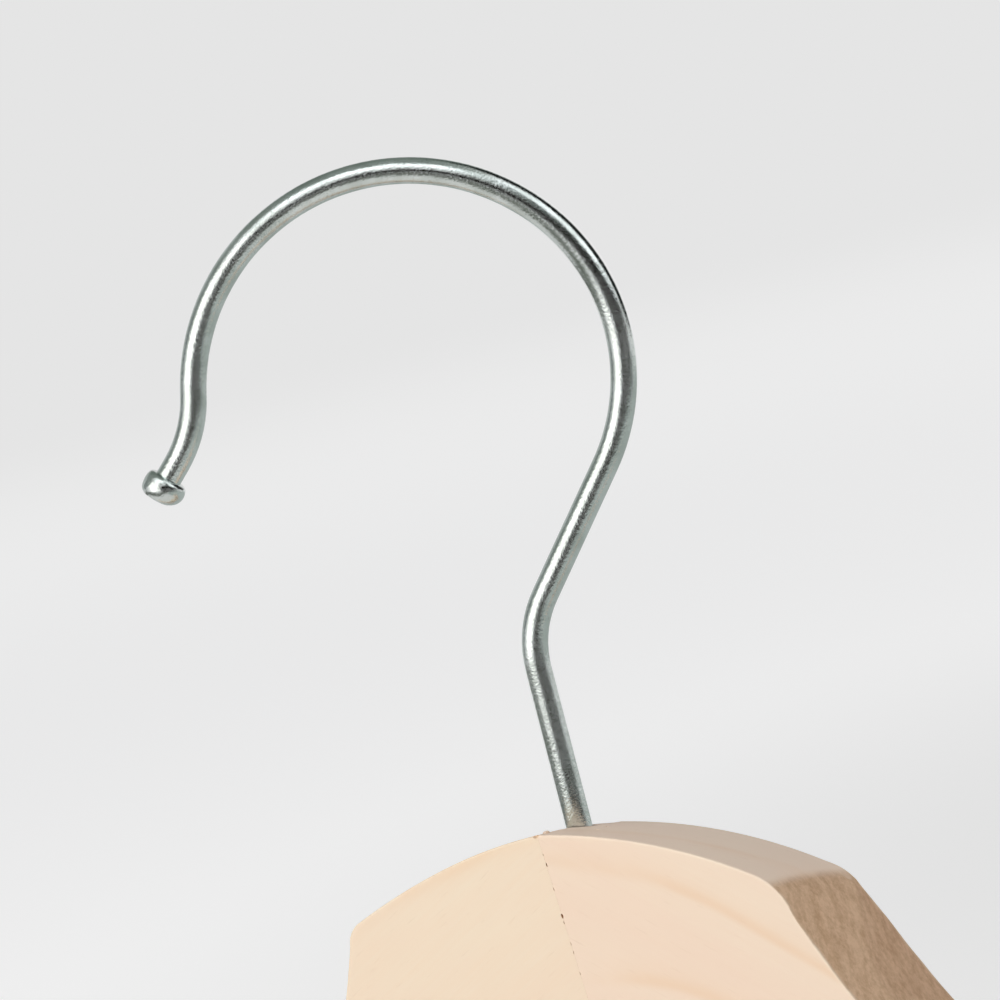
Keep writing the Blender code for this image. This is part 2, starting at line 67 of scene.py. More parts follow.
print("packed size in mm:", [round(high / MM - low / MM, 1) for low, high in zip(*packed_box)])

# %% [markdown]
# ## The camera
# The photograph was taken with a long lens from the right of the hanger, a little above it, and leaning.
# A long lens far away keeps the hook's circle round. The lean is a roll about the line of sight, so it is
# written last, after the turn round the hanger and the tilt down.

# %% Place the camera
view_turn, view_tilt, view_roll = math.radians(34.0), math.radians(6.36), math.radians(-14.46)
bpy.ops.object.select_all(action="DESELECT")
bpy.ops.object.camera_add(location=(0.341921, -0.493261, 0.023234))
camera = bpy.context.object
camera.name = "photo_camera"
aim = Euler((math.pi / 2 - view_tilt, 0, view_turn)).to_matrix() @ Matrix.Rotation(view_roll, 3, "Z")
camera.rotation_euler = aim.to_euler()
camera.data.sensor_width = 36
camera.data.lens = 166.536
camera.data.clip_start = 0.01
bpy.context.scene.camera = camera
print("camera stands", round(camera.location.length, 3), "m from the hook")

# %% [markdown]
# ## Colours and nodes
# Colours are given as hex values, the way they look on a screen, but light is added up in linear
# values, so one function turns the first into the second. A second small function adds a node with its
# settings and its links, and every finish below is built with it. The last one starts a new finish.

# %% Helpers for finishes
def paint(code):
    """Turn a screen colour such as F0D8C0 into linear values."""
    shares = [int(code[place:place + 2], 16) / 255 for place in (0, 2, 4)]
    return tuple(s / 12.92 if s <= 0.04045 else ((s + 0.055) / 1.055) ** 2.4 for s in shares) + (1.0,)


def add(tree, kind, feeds=None, stops=None, **settings):
    """Add one node. Feeds are values or other nodes' sockets, by input; stops are a ramp's (place, value)."""
    node = tree.nodes.new(kind)
    for name, value in settings.items():
        setattr(node, name, value)
    for name, value in (feeds or {}).items():
        if isinstance(value, bpy.types.NodeSocket):
            tree.links.new(value, node.inputs[name])
        else:
            node.inputs[name].default_value = value
    for place, value in (stops or ()):
        stop = node.color_ramp.elements.new(place)
        stop.color = (value, value, value, 1.0)
    if stops:
        ramp = node.color_ramp.elements
        ramp.remove(ramp[0])
        ramp.remove(ramp[-1])
    return node


def new_finish(name):
    """Start a finish: its material, its node tree and its surface."""
    material = bpy.data.materials.new(name)
    material.use_nodes = True
    return material, material.node_tree, material.node_tree.nodes["Principled BSDF"]


print("warm white in linear values:", [round(value, 3) for value in paint("F3DAC2")])

# %% [markdown]
# ## Helpers for modelling
# Every piece is modelled as by hand: a primitive, then operators in edit mode. An operator acts on what is
# selected, so one helper selects pieces, or none before a primitive is added, and another selects by a rule,
# such as the faces that look along X. The last one puts a finished piece at the origin and hands it to the
# body that carries it.

# %% Helpers for modelling
def only(*pieces):
    """Select these pieces and nothing else, and make the first of them the active one."""
    bpy.ops.object.select_all(action="DESELECT")
    for piece in pieces:
        piece.select_set(True)
    if pieces:
        bpy.context.view_layer.objects.active = pieces[0]


def begin(name):
    """Name the primitive that was just added and open it for editing."""
    piece = bpy.context.object
    piece.name = piece.data.name = name
    bpy.ops.object.mode_set(mode="EDIT")
    return piece


def pick(piece, what, rule):
    """In edit mode, select only the verts, edges or faces that the rule is true for, and count them."""
    bpy.ops.mesh.select_mode(type=what[:4].upper())
    bpy.ops.mesh.select_all(action="DESELECT")
    shape = bmesh.from_edit_mesh(piece.data)
    chosen = [part for part in getattr(shape, what) if rule(part)]
    for part in chosen:
        part.select_set(True)
    shape.select_flush_mode()
    bmesh.update_edit_mesh(piece.data)
    return len(chosen)


def finish(piece, node, angle=35):
    """Close the piece for editing, put its place into its mesh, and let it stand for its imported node."""
    if bpy.context.mode != "OBJECT":
        bpy.ops.object.mode_set(mode="OBJECT")
    only(piece)
    bpy.ops.object.transform_apply(location=True, rotation=True, scale=True)
    bpy.ops.object.shade_smooth_by_angle(angle=math.radians(angle))
    weigh = piece.modifiers.new("weigh", "WEIGHTED_NORMAL")
    weigh.keep_sharp = True
    bpy.ops.object.modifier_apply(modifier=weigh.name)
    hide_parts(node)
    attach(piece, "hook_body" if node == "hook" else "wooden_frame")
    low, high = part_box(node)
    size = [round(length / MM, 1) for length in high - low]
    print(piece.name, "has", len(piece.data.polygons), "faces for", node, "of", size, "mm")


# %% [markdown]
# ## The wire hook
# The real hook is one length of plated wire, bent round pins and headed at its tip. The same order is kept
# here: a circle at the wire's lower end, pushed straight where the wire is straight, and swept round a pin
# with the spin operator where it is bent. Spinning keeps the wire perfectly round in every bend.

# %% Where the hook stands
wire_radius = 1.75 * MM
foot_radius = wire_radius * 0.7
stem_foot = Vector((6.0022, 3.6494, -126.2511)) * MM
hook_turn = math.radians(31.3)
hook_right = Vector((math.cos(hook_turn), math.sin(hook_turn), 0))
hook_back = Vector((-math.sin(hook_turn), math.cos(hook_turn), 0))
only()
bpy.ops.mesh.primitive_circle_add(vertices=40, radius=foot_radius, fill_type="NGON", location=stem_foot)
hook = begin("bent_wire_hook")
bpy.ops.mesh.select_all(action="SELECT")
spot = stem_foot.copy()
heading = 0.0
print("the hook's plane is turned", round(math.degrees(hook_turn), 1), "degrees from the shoulders")

# %% Push it straight, or bend it round a pin
def along():
    """The direction in which the wire's end points now."""
    return hook_right * math.sin(heading) + Vector((0, 0, math.cos(heading)))


def push(length, radius=None, sideways=0.0):
    """Push the wire's end on by a length, and change its radius there where one is given."""
    global spot, end_radius
    step = along() * length
    bpy.ops.mesh.extrude_region_move(TRANSFORM_OT_translate={"value": step})
    spot = spot + step
    if radius:
        share = radius / end_radius
        bpy.ops.transform.resize(value=(share, share, share), center_override=spot)
        end_radius = radius
    if sideways:
        shift = along().cross(hook_back) * sideways
        bpy.ops.transform.translate(value=shift)
        spot = spot + shift


def bend(radius, degrees):
    """Sweep the wire's end round a pin: to the hook's right where the angle is positive."""
    global spot, heading
    turn = math.radians(degrees)
    side = math.copysign(1, turn)
    to_pin = hook_right * math.cos(heading) - Vector((0, 0, math.sin(heading)))
    pin = spot + to_pin * radius * side
    steps = max(6, round(radius * abs(turn) / bend_step))
    # The spin operator counts its angle the other way round from a rotation matrix
    bpy.ops.mesh.spin(steps=steps, angle=-turn, center=pin, axis=hook_back)
    spot = pin + Matrix.Rotation(turn, 3, hook_back) @ (spot - pin)
    heading += turn


# The wood holds 40 mm of the wire, with the lock pin's groove turned into it 6.4 mm above its foot
in_wood, groove_foot, groove_slope, groove_width, groove_radius = [
    length * MM for length in (40, 6.4, 0.2, 2.4, 1.05)]
bend_step = 1.1 * MM
end_radius = foot_radius
push(wire_radius - foot_radius, wire_radius)
push(groove_foot - (wire_radius - foot_radius))
push(groove_slope, groove_radius)
push(groove_width)
push(groove_slope, wire_radius)
for _ in range(4):
    push((in_wood - groove_foot - groove_width - 2 * groove_slope) / 4)
print("the wire leaves the wood at", [round(value / MM, 2) for value in spot])

# %% Bend the hook
push(19.9 * MM)
bend(14.7 * MM, 38.9)
push(18.7 * MM)
bend(26.9 * MM, -77.6)
bend(28.3 * MM, -128.8)
bend(17.1 * MM, 31.8)
push(1.6 * MM)
print("the wire ends at", [round(value / MM, 2) for value in spot])

# %% [markdown]
# The tip is hot-headed: the wire's end is upset into a thick button with a flat face, so that it does not
# scratch. It is made by more pushes, each with its own radius. The blow was not quite straight, so the far
# rings lean a little to one side, as they do on the real one.

# %% Head the tip
push(0.45 * MM)
for length, radius, lean in (
    (0.03, 1.95, 0.0), (0.06, 2.2, 0.0), (0.1, 2.42, 0.01), (0.14, 2.58, 0.02), (0.22, 2.72, 0.03),
    (0.32, 2.82, 0.03), (0.4, 2.88, 0.02), (0.4, 2.87, 0.0), (0.38, 2.8, -0.03), (0.34, 2.68, -0.05),
    (0.3, 2.5, -0.06), (0.24, 2.28, -0.06), (0.18, 2.06, -0.05), (0.12, 1.86, -0.03), (0.07, 1.66, 0.0),
    (0.05, 1.35, 0.0), (0.02, 0.7, 0.0),
):
    push(length * MM, radius * MM, lean * MM)
bpy.ops.mesh.poke()
finish(hook, "hook", angle=60)

# %% [markdown]
# ## The two wings
# A wing is sawn from a board, hollowed under the neck, and run past a shaped cutter. Its cross-section
# changes all the way along, so it is lofted: the outline of one rib is drawn, and the face is extruded and
# set on the next rib, nearly ninety times. A rib has five corners: front foot, front top, ridge, rear top
# and rear foot, and each corner is rounded as a sanding belt rounds it.

# %% The wing's sizes
seam_gap = 0.012 * MM
head_depth, head_half_width, head_height = 20 * MM, 33.7 * MM, 63 * MM
crown_radius, crown_tilt = 84 * MM, math.radians(4.9)
# The head's right and left corner: how round each is, and how far it stands above the crown's curve
head_corners = {1: (9.0 * MM, 0.0), -1: (4.5 * MM, 0.5 * MM)}
seam_slant = math.radians(3.4)
head_top_fall, head_corner_fall, camber = 4.1 * MM, 4.4 * MM, 0.3 * MM
neck_radius, neck_start, neck_end = 54 * MM, math.radians(14.5), math.radians(68)
shoulder_radius, shoulder_turn = 800 * MM, math.radians(11.4)
neck_height, shoulder_height = 31 * MM, 35 * MM
neck_depth, shoulder_depth, rear_fall = 29 * MM, 44 * MM, 11 * MM
end_round, end_size, sweep = 19 * MM, 0.16, 18 * MM
head_steps, corner_steps, neck_steps, shoulder_steps, end_steps = 16, 8, 26, 26, 12
# Front foot, front top, ridge, rear top and rear foot
edge_radii = [radius * MM for radius in (0.6, 0.3, 1.6, 0.45, 0.6)]
crown_foot_share, corner_foot_share = 0.36, 0.46
crown_ridge, shoulder_ridge, corner_lean = 0.93, 0.36, 0.6
# Down the neck, from 0 at the head's corner to 1 at the shoulder: the ridge's place in the depth
ridge_shares = (
    (0.0, 0.94), (0.04, 0.89), (0.08, 0.78), (0.15, 0.59), (0.23, 0.437), (0.31, 0.345), (0.42, 0.317),
    (1.0, shoulder_ridge))
# In mm: how deep a rib is, how far its ridge and its rear edge fall, and how far sanding moved its edge out
depths = (
    (0.0, 20.0), (0.04, 20.1), (0.08, 20.4), (0.12, 20.8), (0.16, 21.25), (0.23, 21.9), (0.31, 22.6),
    (0.38, 23.2), (0.5, 24.4), (1.0, 29.0))
ridge_falls = ((0.0, 1.8), (0.04, 1.4), (0.08, 1.03), (0.15, 0.7), (0.25, 0.6), (0.4, 0.7), (1.0, 1.48))
rear_falls = (
    (0.0, 2.1), (0.06, 2.02), (0.12, 2.1), (0.19, 2.41), (0.23, 2.64), (0.31, 3.1), (0.38, 3.84),
    (0.42, 4.3), (0.5, 5.2), (0.7, 6.6), (1.0, 8.16))
sanded_out = ((0.0, -0.19), (0.08, 0.1), (0.15, 0.2), (0.2, 0.18), (0.3, 0.0), (1.0, 0.0))
stem = Vector((6.0022, 3.6494, -86.2511)) * MM
print("the head is", round(2 * head_half_width / MM, 1), "mm wide and", round(head_depth / MM, 1), "mm deep")

# %% Curves of the wing's edges
def read(table, share):
    """Read a table of shares, straight between its rows."""
    for (low, first), (high, second) in zip(table, table[1:]):
        if share <= high:
            return first + (second - first) * (share - low) / (high - low)
    return table[-1][1]


def crown(share):
    """The head's top edge, from the seam to where its corner would be sharp."""
    across = head_half_width * share
    tilt = math.asin(math.sin(crown_tilt) + across / crown_radius)
    return across, -crown_radius * (math.cos(crown_tilt) - math.cos(tilt)), tilt


def neck(share):
    """The hollow side of the head and neck."""
    angle = neck_start + (neck_end - neck_start) * share
    across = head_half_width + neck_radius * (math.cos(neck_start) - math.cos(angle))
    return across, crown(1)[1] - neck_radius * (math.sin(angle) - math.sin(neck_start))


def shoulder(share):
    """The shoulder's top edge, with its slope."""
    across, height = neck(1)
    start = math.pi / 2 - neck_end
    slope = start + shoulder_turn * share
    across += shoulder_radius * (math.sin(slope) - math.sin(start))
    return across, height - shoulder_radius * (math.cos(start) - math.cos(slope)), slope


def arch(share):
    """The lower edge under the head and neck."""
    across, height, slope = shoulder(0)
    end_across = across - neck_height * math.sin(slope)
    end_height = height - neck_height * math.cos(slope)
    angle = math.asin(math.sin(slope) * share)
    rise = (-head_height - end_height) / (1 - math.cos(slope))
    return end_across * share, -head_height - rise * (1 - math.cos(angle))


print("the shoulder ends", round(shoulder(1)[0] / MM, 1), "mm from the stem")

# %% The ribs, from the seam out
def make_rib(top, foot, depth, middle, ridge, falls, seam=0.0, facing=None, lean=0.0):
    """One rib. Ridge and rear edge fall straight down it, or lean away from where its top is facing."""
    top, foot = Vector(top), Vector(foot)
    up = (top - foot).normalized()
    way = up.lerp(Vector(facing), lean).normalized() if facing else up
    return top, foot, depth, middle, ridge, falls, way, seam


def wing_ribs(corner_radius, lift):
    """List a wing's ribs from the seam to the rounded end. The lift raises the head's corner a little."""
    ribs = []
    side_tilt = math.pi / 2 - neck_start
    reach = corner_radius * math.tan((side_tilt - crown(1)[2]) / 2) * math.cos(crown(1)[2])
    for step in range(head_steps + 1):
        share = step / head_steps
        across, height, tilt = crown(share * (1 - reach / head_half_width))
        height += lift * max(0.0, share * 2 - 1) ** 2
        falls = (crown_ridge * head_top_fall, head_top_fall + (head_corner_fall - head_top_fall) * share)
        foot = arch(crown_foot_share * share)
        ribs.append(make_rib((across, height), foot, head_depth, 0, crown_ridge, falls, seam=1 - share))
    hub = (across - corner_radius * math.sin(tilt), height - corner_radius * math.cos(tilt))
    first_fall, last_fall = ridge_falls[0][1] * MM, rear_falls[0][1] * MM
    for step in range(1, corner_steps + 1):
        share = step / corner_steps
        angle = tilt + (side_tilt - tilt) * share
        facing = (math.sin(angle), math.cos(angle))
        sanded = sanded_out[0][1] * MM * share ** 2
        top = (hub[0] + corner_radius * facing[0] + sanded, hub[1] + corner_radius * facing[1])
        foot = arch(crown_foot_share + (corner_foot_share - crown_foot_share) * share)
        falls = (
            crown_ridge * head_top_fall + (first_fall - crown_ridge * head_top_fall) * share ** 2,
            head_corner_fall + (last_fall - head_corner_fall) * share ** 1.4)
        ridge = crown_ridge + (ridge_shares[0][1] - crown_ridge) * share ** 3
        ribs.append(make_rib(top, foot, head_depth, 0, ridge, falls, facing=facing, lean=corner_lean * share))
    first = reach / neck_radius / (neck_end - neck_start)
    for step in range(1, neck_steps + 1):
        share = step / neck_steps
        foot = arch(corner_foot_share + (1 - corner_foot_share) * share)
        along_neck = first + (1 - first) * share
        angle = neck_start + (neck_end - neck_start) * along_neck
        across, height = neck(along_neck)
        across += read(sanded_out, share) * MM
        height += lift * max(0.0, 1 - share * 4)
        depth = read(depths, share) * MM
        falls = (read(ridge_falls, share) * MM, read(rear_falls, share) * MM)
        ribs.append(make_rib(
            (across, height), foot, depth, (depth - head_depth) / 2, read(ridge_shares, share), falls,
            facing=(math.cos(angle), math.sin(angle)), lean=min(1.0, corner_lean + 2 * share)))
    for step in range(1, shoulder_steps + 1):
        share = step / shoulder_steps
        across, height, slope = shoulder(share)
        tall = neck_height + (shoulder_height - neck_height) * share
        foot = (across - tall * math.sin(slope), height - tall * math.cos(slope))
        depth = neck_depth + (shoulder_depth - neck_depth) * share
        falls = (shoulder_ridge * head_top_fall, rear_falls[-1][1] * MM * (1 - share) + rear_fall * share)
        ribs.append(make_rib((across, height), foot, depth, (depth - head_depth) / 2, shoulder_ridge, falls))
    middle = (ribs[-1][0] + ribs[-1][1]) / 2
    half_rib = ribs[-1][0] - middle
    for step in range(1, end_steps + 1):
        angle = math.acos(end_size) * step / end_steps
        moved = middle + Vector((math.cos(slope), -math.sin(slope))) * end_round * math.sin(angle)
        size = math.cos(angle)
        falls = (min(head_top_fall, rear_fall * size) * shoulder_ridge, rear_fall * size)
        ribs.append(make_rib(
            moved + half_rib * size, moved - half_rib * size, depth * size, (depth - head_depth) / 2,
            shoulder_ridge, falls))
    return ribs


ribs = {side: wing_ribs(*corner) for side, corner in head_corners.items()}
print("a wing has", len(ribs[1]), "ribs")

# %% The outline round one rib
def rib_outline(rib):
    """Points round a rib as (across, deep, wear, painted shade behind the ridge).

    Wear is 1 on a rounded edge, and the painted shade is 1 well behind the ridge.
    """
    top, foot, depth, middle, ridge, (ridge_fall, fall), way, _ = rib
    tall = (top - foot).length
    up = (top - foot) / tall
    right = Vector((up.y, -up.x))
    lower, inner = -way.dot(up), -way.dot(right)
    corners = [Vector(c) for c in (
        (0, 0, 0), (tall, 0, 0), (tall + ridge_fall * lower, depth * ridge, ridge_fall * inner),
        (tall + fall * lower, depth, fall * inner), (0, depth, 0))]
    rounded = []
    for index, corner in enumerate(corners):
        before, after = corners[index - 1] - corner, corners[(index + 1) % 5] - corner
        radius = edge_radii[index]
        wanted = max(radius / math.tan(before.angle(after) / 2), radius * 0.4)
        reach = min(wanted, before.length * 0.45, after.length * 0.45)
        first, last = corner + before.normalized() * reach, corner + after.normalized() * reach
        wear = 0.0 if index == 2 else 1.0
        rounded.append([
            (first.lerp(corner, step / 5).lerp(corner.lerp(last, step / 5), step / 5),
             wear * math.sin(math.pi * (step + 1) / 7))
            for step in range(6)])
    outline = []
    for index, corner in enumerate(rounded):
        outline += corner
        start, end = corner[-1][0], rounded[(index + 1) % 5][0][0]
        # A point close to each corner keeps the face between them flat
        flat = (end - start).length
        close = min(0.5 * MM, flat * 0.2) / max(flat, 0.01 * MM)
        for share in (close, *((0.25, 0.5, 0.75) if index != 2 else (0.5,)), 1 - close):
            # The top's front part is a little domed on the head, and flat on the shoulder
            dome = camber * max(0.0, ridge - shoulder_ridge) / (crown_ridge - shoulder_ridge)
            raised = dome * 4 * share * (1 - share) if index == 1 else 0.0
            outline.append((start.lerp(end, share) + Vector((raised, 0, 0)), 0.0))
    points = []
    for spot, wear in outline:
        # Painted shade on the slope behind the ridge, which faces away from the lamps: from nothing 0.8 mm in
        # front of the ridge to full 2.8 mm behind it
        rear_shade = min(1.0, max(0.0, (spot.y - depth * ridge + 0.8 * MM) / (3.6 * MM)))
        if spot.x <= tall * 0.5:
            rear_shade = 0.0
        points.append((foot + up * spot.x + right * spot.z, middle + spot.y - depth / 2, wear, rear_shade))
    return points


print("a rib has", len(rib_outline(ribs[1][0])), "points")

# %% Loft a wing through its ribs
def loft_wing(name, side):
    """Extrude the first rib's face from rib to rib, for the right wing (1) or the left one (-1)."""
    only()
    bpy.ops.mesh.primitive_circle_add(
        vertices=len(rib_outline(ribs[side][0])), fill_type="NGON", location=(0, 0, 0))
    wing = begin(name)
    # Each point keeps its edge wear, and how much painted shade darkens it behind the ridge
    for layer_name in ("edge_wear", "rear_shade"):
        bmesh.from_edit_mesh(wing.data).verts.layers.float.new(layer_name)
    for number, rib in enumerate(ribs[side]):
        bpy.ops.mesh.select_mode(type="FACE")
        if number:
            bpy.ops.mesh.extrude_region_move()
        else:
            bpy.ops.mesh.select_all(action="SELECT")
        shape = bmesh.from_edit_mesh(wing.data)
        worn, rear_shade_attr = shape.verts.layers.float["edge_wear"], shape.verts.layers.float["rear_shade"]
        (end_face,) = [face for face in shape.faces if face.select]
        forward = sweep * (max(0.0, rib[0].x - head_half_width) / (shoulder(1)[0] - head_half_width)) ** 2
        for corner, (flat, deep, wear, rear_shade) in zip(end_face.verts, rib_outline(rib)):
            across = side * (flat.x + rib[-1] * seam_gap / 2) - rib[-1] * math.tan(seam_slant) * flat.y
            corner.co = stem + Vector((across, deep - forward, flat.y))
            corner[worn] = wear
            corner[rear_shade_attr] = rear_shade
        bmesh.update_edit_mesh(wing.data)
    bpy.ops.mesh.select_all(action="SELECT")
    bpy.ops.mesh.normals_make_consistent(inside=False)
    bpy.ops.object.mode_set(mode="OBJECT")
    return wing


right_wing = loft_wing("sanded_right_wing", 1)
left_wing = loft_wing("sanded_left_wing", -1)
wings = {1: right_wing, -1: left_wing}
print("wing faces:", [len(wing.data.polygons) for wing in wings.values()])

# %% [markdown]
# ## Drilling the wings
# The wings are drilled for the wire, the dowels, the trouser bar and the pins. Each drill is a cylinder at
# the hole's place, taken away with a boolean modifier that is then applied. Where the two wings are glued,
# the saw left a few small torn places along the seam. They are bitten out in the same way, with small
# squashed balls, so that they are real pits and stay dark from every side.

# %% A drill
def use_up(tool, operation, *targets):
    """Take the tool's shape out of the targets, or join it to them, and throw the tool away."""
    for target in targets:
        change = target.modifiers.new("change", "BOOLEAN")
        change.operation, change.solver, change.object = operation, "EXACT", tool
        only(target)
        bpy.ops.object.modifier_apply(modifier=change.name)
    bpy.data.objects.remove(tool, do_unlink=True)


def drill(target, radius, length, centre, axis):
    """Take a round hole out of the target."""
    turn = Vector((0, 0, 1)).rotation_difference(Vector(axis)).to_euler()
    only()
    bpy.ops.mesh.primitive_cylinder_add(
        vertices=36, radius=radius, depth=length, location=centre, rotation=turn)
    use_up(bpy.context.object, "DIFFERENCE", target)


def middle_of(node):
    """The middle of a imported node, and its size."""
    low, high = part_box(node)
    return (low + high) / 2, high - low


def drill_for_pin(target, pin, past):
    """Drill for a pin from the rear, which leaves an open hole behind its end."""
    centre, size = middle_of(pin)
    drill(target, size.x / 2 + fit, size.y + past, centre + Vector((0, past / 2, 0)), (0, 1, 0))


# How loose a hole is, how long the wire's is and how deep its middle lies, and a bar's seat in the wood
fit, bore_length, bore_middle, seat = [length * MM for length in (0.1, 43, 18.8, 44)]
for side, wing in wings.items():
    drill(wing, wire_radius + fit, bore_length, stem - Vector((0, 0, bore_middle)), (0, 0, 1))
    for dowel in ("upper_seam_dowel", "lower_seam_dowel"):
        centre, size = middle_of(dowel)
        drill(wing, size.z / 2 + fit, size.x + fit * 4, centre, (1, 0, 0))
    centre, size = middle_of("trouser_bar")
    out = side * (size.x / 2 + 0.3 * MM - seat / 2)
    drill(wing, size.z / 2 + fit, seat, centre + Vector((out, 0, 0)), (1, 0, 0))
    drill_for_pin(wing, "right_bar_pin" if side > 0 else "left_bar_pin", 6 * MM)
drill_for_pin(left_wing, "hook_lock_pin", 4 * MM)
print("drilled:", [len(wing.data.polygons) for wing in wings.values()], "faces")

# %% Torn places along the seam
def seam_spot(fall, deep):
    """A point of the seam, by its fall below the head's top and its depth behind the stem."""
    return stem + Vector((math.tan(seam_slant) * fall * MM, deep, -fall * MM))


only()
torn = []
for fall, tall, wide, side, face in (
    (0.15, 0.28, 0.45, -1, -1), (2.7, 0.16, 0.05, 0, -1), (4.1, 0.28, 0.09, 1, -1),
    (7.4, 0.24, 0.06, 0, -1), (11.1, 0.34, 0.17, 0, -1), (12.0, 0.24, 0.06, -1, -1),
    (14.9, 0.24, 0.05, 0, -1), (16.1, 0.22, 0.06, 0, -1), (19.0, 0.20, 0.05, 0, -1),
    (24.2, 0.34, 0.08, 1, -1), (31.5, 0.20, 0.06, 0, -1), (38.0, 0.36, 0.11, -1, -1),
    (47.5, 0.34, 0.09, 0, -1), (56.0, 0.30, 0.08, 0, -1), (8.0, 0.40, 0.10, 0, 1),
    (21.0, 0.46, 0.12, 1, 1), (33.5, 0.32, 0.08, 0, 1), (44.0, 0.40, 0.10, -1, 1),
):
    spot = seam_spot(fall, face * head_depth / 2) + Vector((side * wide * 0.6 * MM, 0, 0))
    bpy.ops.mesh.primitive_ico_sphere_add(subdivisions=2, radius=MM, location=spot)
    bite = bpy.context.object
    bite.rotation_euler = (0.3 * side, -seam_slant, 0)
    bite.scale = (wide, 0.7, tall)
    torn.append(bite)
# Two nicks in the right wing's top, beside the wire. The top falls to the rear and a little to the right
fall_back, fall_across, nick_lift = head_top_fall / head_depth, 0.115, 0.24
for across, back, wide in ((4.8, -0.9, 0.34), (5.6, -4.2, 0.5)):
    fall = fall_back * (back + head_depth / 2 / MM) + fall_across * across - nick_lift
    spot = stem + Vector((across, back, -fall)) * MM
    bpy.ops.mesh.primitive_ico_sphere_add(subdivisions=2, radius=MM, location=spot)
    nick = bpy.context.object
    nick.scale = (wide, 0.3, 0.12)
    torn.append(nick)
only(*torn)
bpy.ops.object.join()
bites = bpy.context.object
bpy.ops.object.transform_apply(location=True, rotation=True, scale=True)
use_up(bites, "DIFFERENCE", right_wing, left_wing)
print("torn places:", len(torn))

# %% A splinter of the glue line stands up at the seam's top
spot = seam_spot(0.34, -head_depth / 2 + 2.0 * MM) + Vector((0.1, 0, 0)) * MM
only()
bpy.ops.mesh.primitive_ico_sphere_add(subdivisions=2, radius=MM, location=spot)
splinter = bpy.context.object
splinter.scale = (0.42, 0.6, 0.32)
use_up(splinter, "UNION", right_wing)
print("the right wing has", len(right_wing.data.polygons), "faces")

# %% Hand the wings over
finish(right_wing, "right_wing")
finish(left_wing, "left_wing")

# %% [markdown]
# ## Turned and drawn pieces
# The bar, the dowels and the pins are lengths of rod with their ends eased. One function makes them all: a
# cylinder at its place, its end edges bevelled, and the middle of each end pressed in a little, as a punch
# or a centre leaves it. The dowels also get flutes, which let the glue out, by drawing every third line of
# points inwards.

# %% A length of rod
# Shares of the radius: the flat rim round a dimple, the dimple's slope, and what a flute leaves
rim_share, dimple_share, flute_share = 0.35, 0.2, 0.93


def rod(name, node, axis, sides, ease, dimple, flutes=False):
    """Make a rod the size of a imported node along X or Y, with eased ends."""
    centre, size = middle_of(node)
    along_x = axis == "X"
    length, radius = (size.x, size.z / 2) if along_x else (size.y, size.z / 2)
    turn = (0, math.pi / 2, 0) if along_x else (math.pi / 2, 0, 0)
    only()
    bpy.ops.mesh.primitive_cylinder_add(
        vertices=sides, radius=radius, depth=length, location=centre, rotation=turn, end_fill_type="NGON")
    piece = begin(name)
    pick(piece, "faces", lambda face: abs(face.normal.z) > 0.9)
    bpy.ops.mesh.region_to_loop()
    bpy.ops.mesh.bevel(offset=ease, segments=3, profile=0.6, affect="EDGES")
    pick(piece, "faces", lambda face: abs(face.normal.z) > 0.999 and len(face.verts) == sides)
    bpy.ops.mesh.inset(thickness=radius * rim_share)
    bpy.ops.mesh.inset(thickness=radius * dimple_share, depth=-dimple)
    bpy.ops.mesh.poke()
    if flutes:
        pick(piece, "verts", lambda vert: flute_line(vert, sides) and abs(vert.co.z) < length / 2 - ease)
        drawn_in = (1, flute_share, flute_share) if along_x else (flute_share, 1, flute_share)
        bpy.ops.transform.resize(value=drawn_in, orient_type="GLOBAL", center_override=centre)
    return piece


def flute_line(vert, sides):
    """Whether a point of the rod is on a flute's line."""
    step = round(math.atan2(vert.co.y, vert.co.x) / (2 * math.pi) * sides)
    return step % 3 == 0


bar = rod("turned_trouser_bar", "trouser_bar", "X", 72, 0.8 * MM, 0.15 * MM)
bpy.ops.object.mode_set(mode="OBJECT")
for pin_name in ("left_bar_pin", "right_bar_pin"):
    drill_for_pin(bar, pin_name, 6 * MM)
finish(bar, "trouser_bar")

# %% Dowels and pins
rods = {}
for name, node, axis, sides, ease, dimple in (
    ("fluted_upper_dowel", "upper_seam_dowel", "X", 48, 0.6, 0.1),
    ("fluted_lower_dowel", "lower_seam_dowel", "X", 48, 0.6, 0.1),
    ("drawn_lock_pin", "hook_lock_pin", "Y", 32, 0.22, 0.1),
    ("drawn_left_bar_pin", "left_bar_pin", "Y", 32, 0.25, 0.12),
    ("drawn_right_bar_pin", "right_bar_pin", "Y", 32, 0.25, 0.12),
):
    wooden = axis == "X"
    rods[node] = rod(name, node, axis, sides, ease * MM, dimple * MM, flutes=wooden)
    finish(rods[node], node)

# %% [markdown]
# ## The ribbed sleeve
# Trousers slide off bare wood, so the bar wears a soft extruded sleeve with low ribs. Its section is drawn
# once as a circle whose points are moved in and out into 28 rounded ribs, and pushed along the bar. The
# bore is a second ring inside, joined to the first at both ends with the bridge operator.

# %% Extrude the sleeve
centre, size = middle_of("bar_sleeve")
bore_radius = middle_of("trouser_bar")[1].z / 2 + 0.15 * MM
crest, rib_height, rib_count, per_rib, stations = size.z / 2, 0.35 * MM, 28, 10, 40
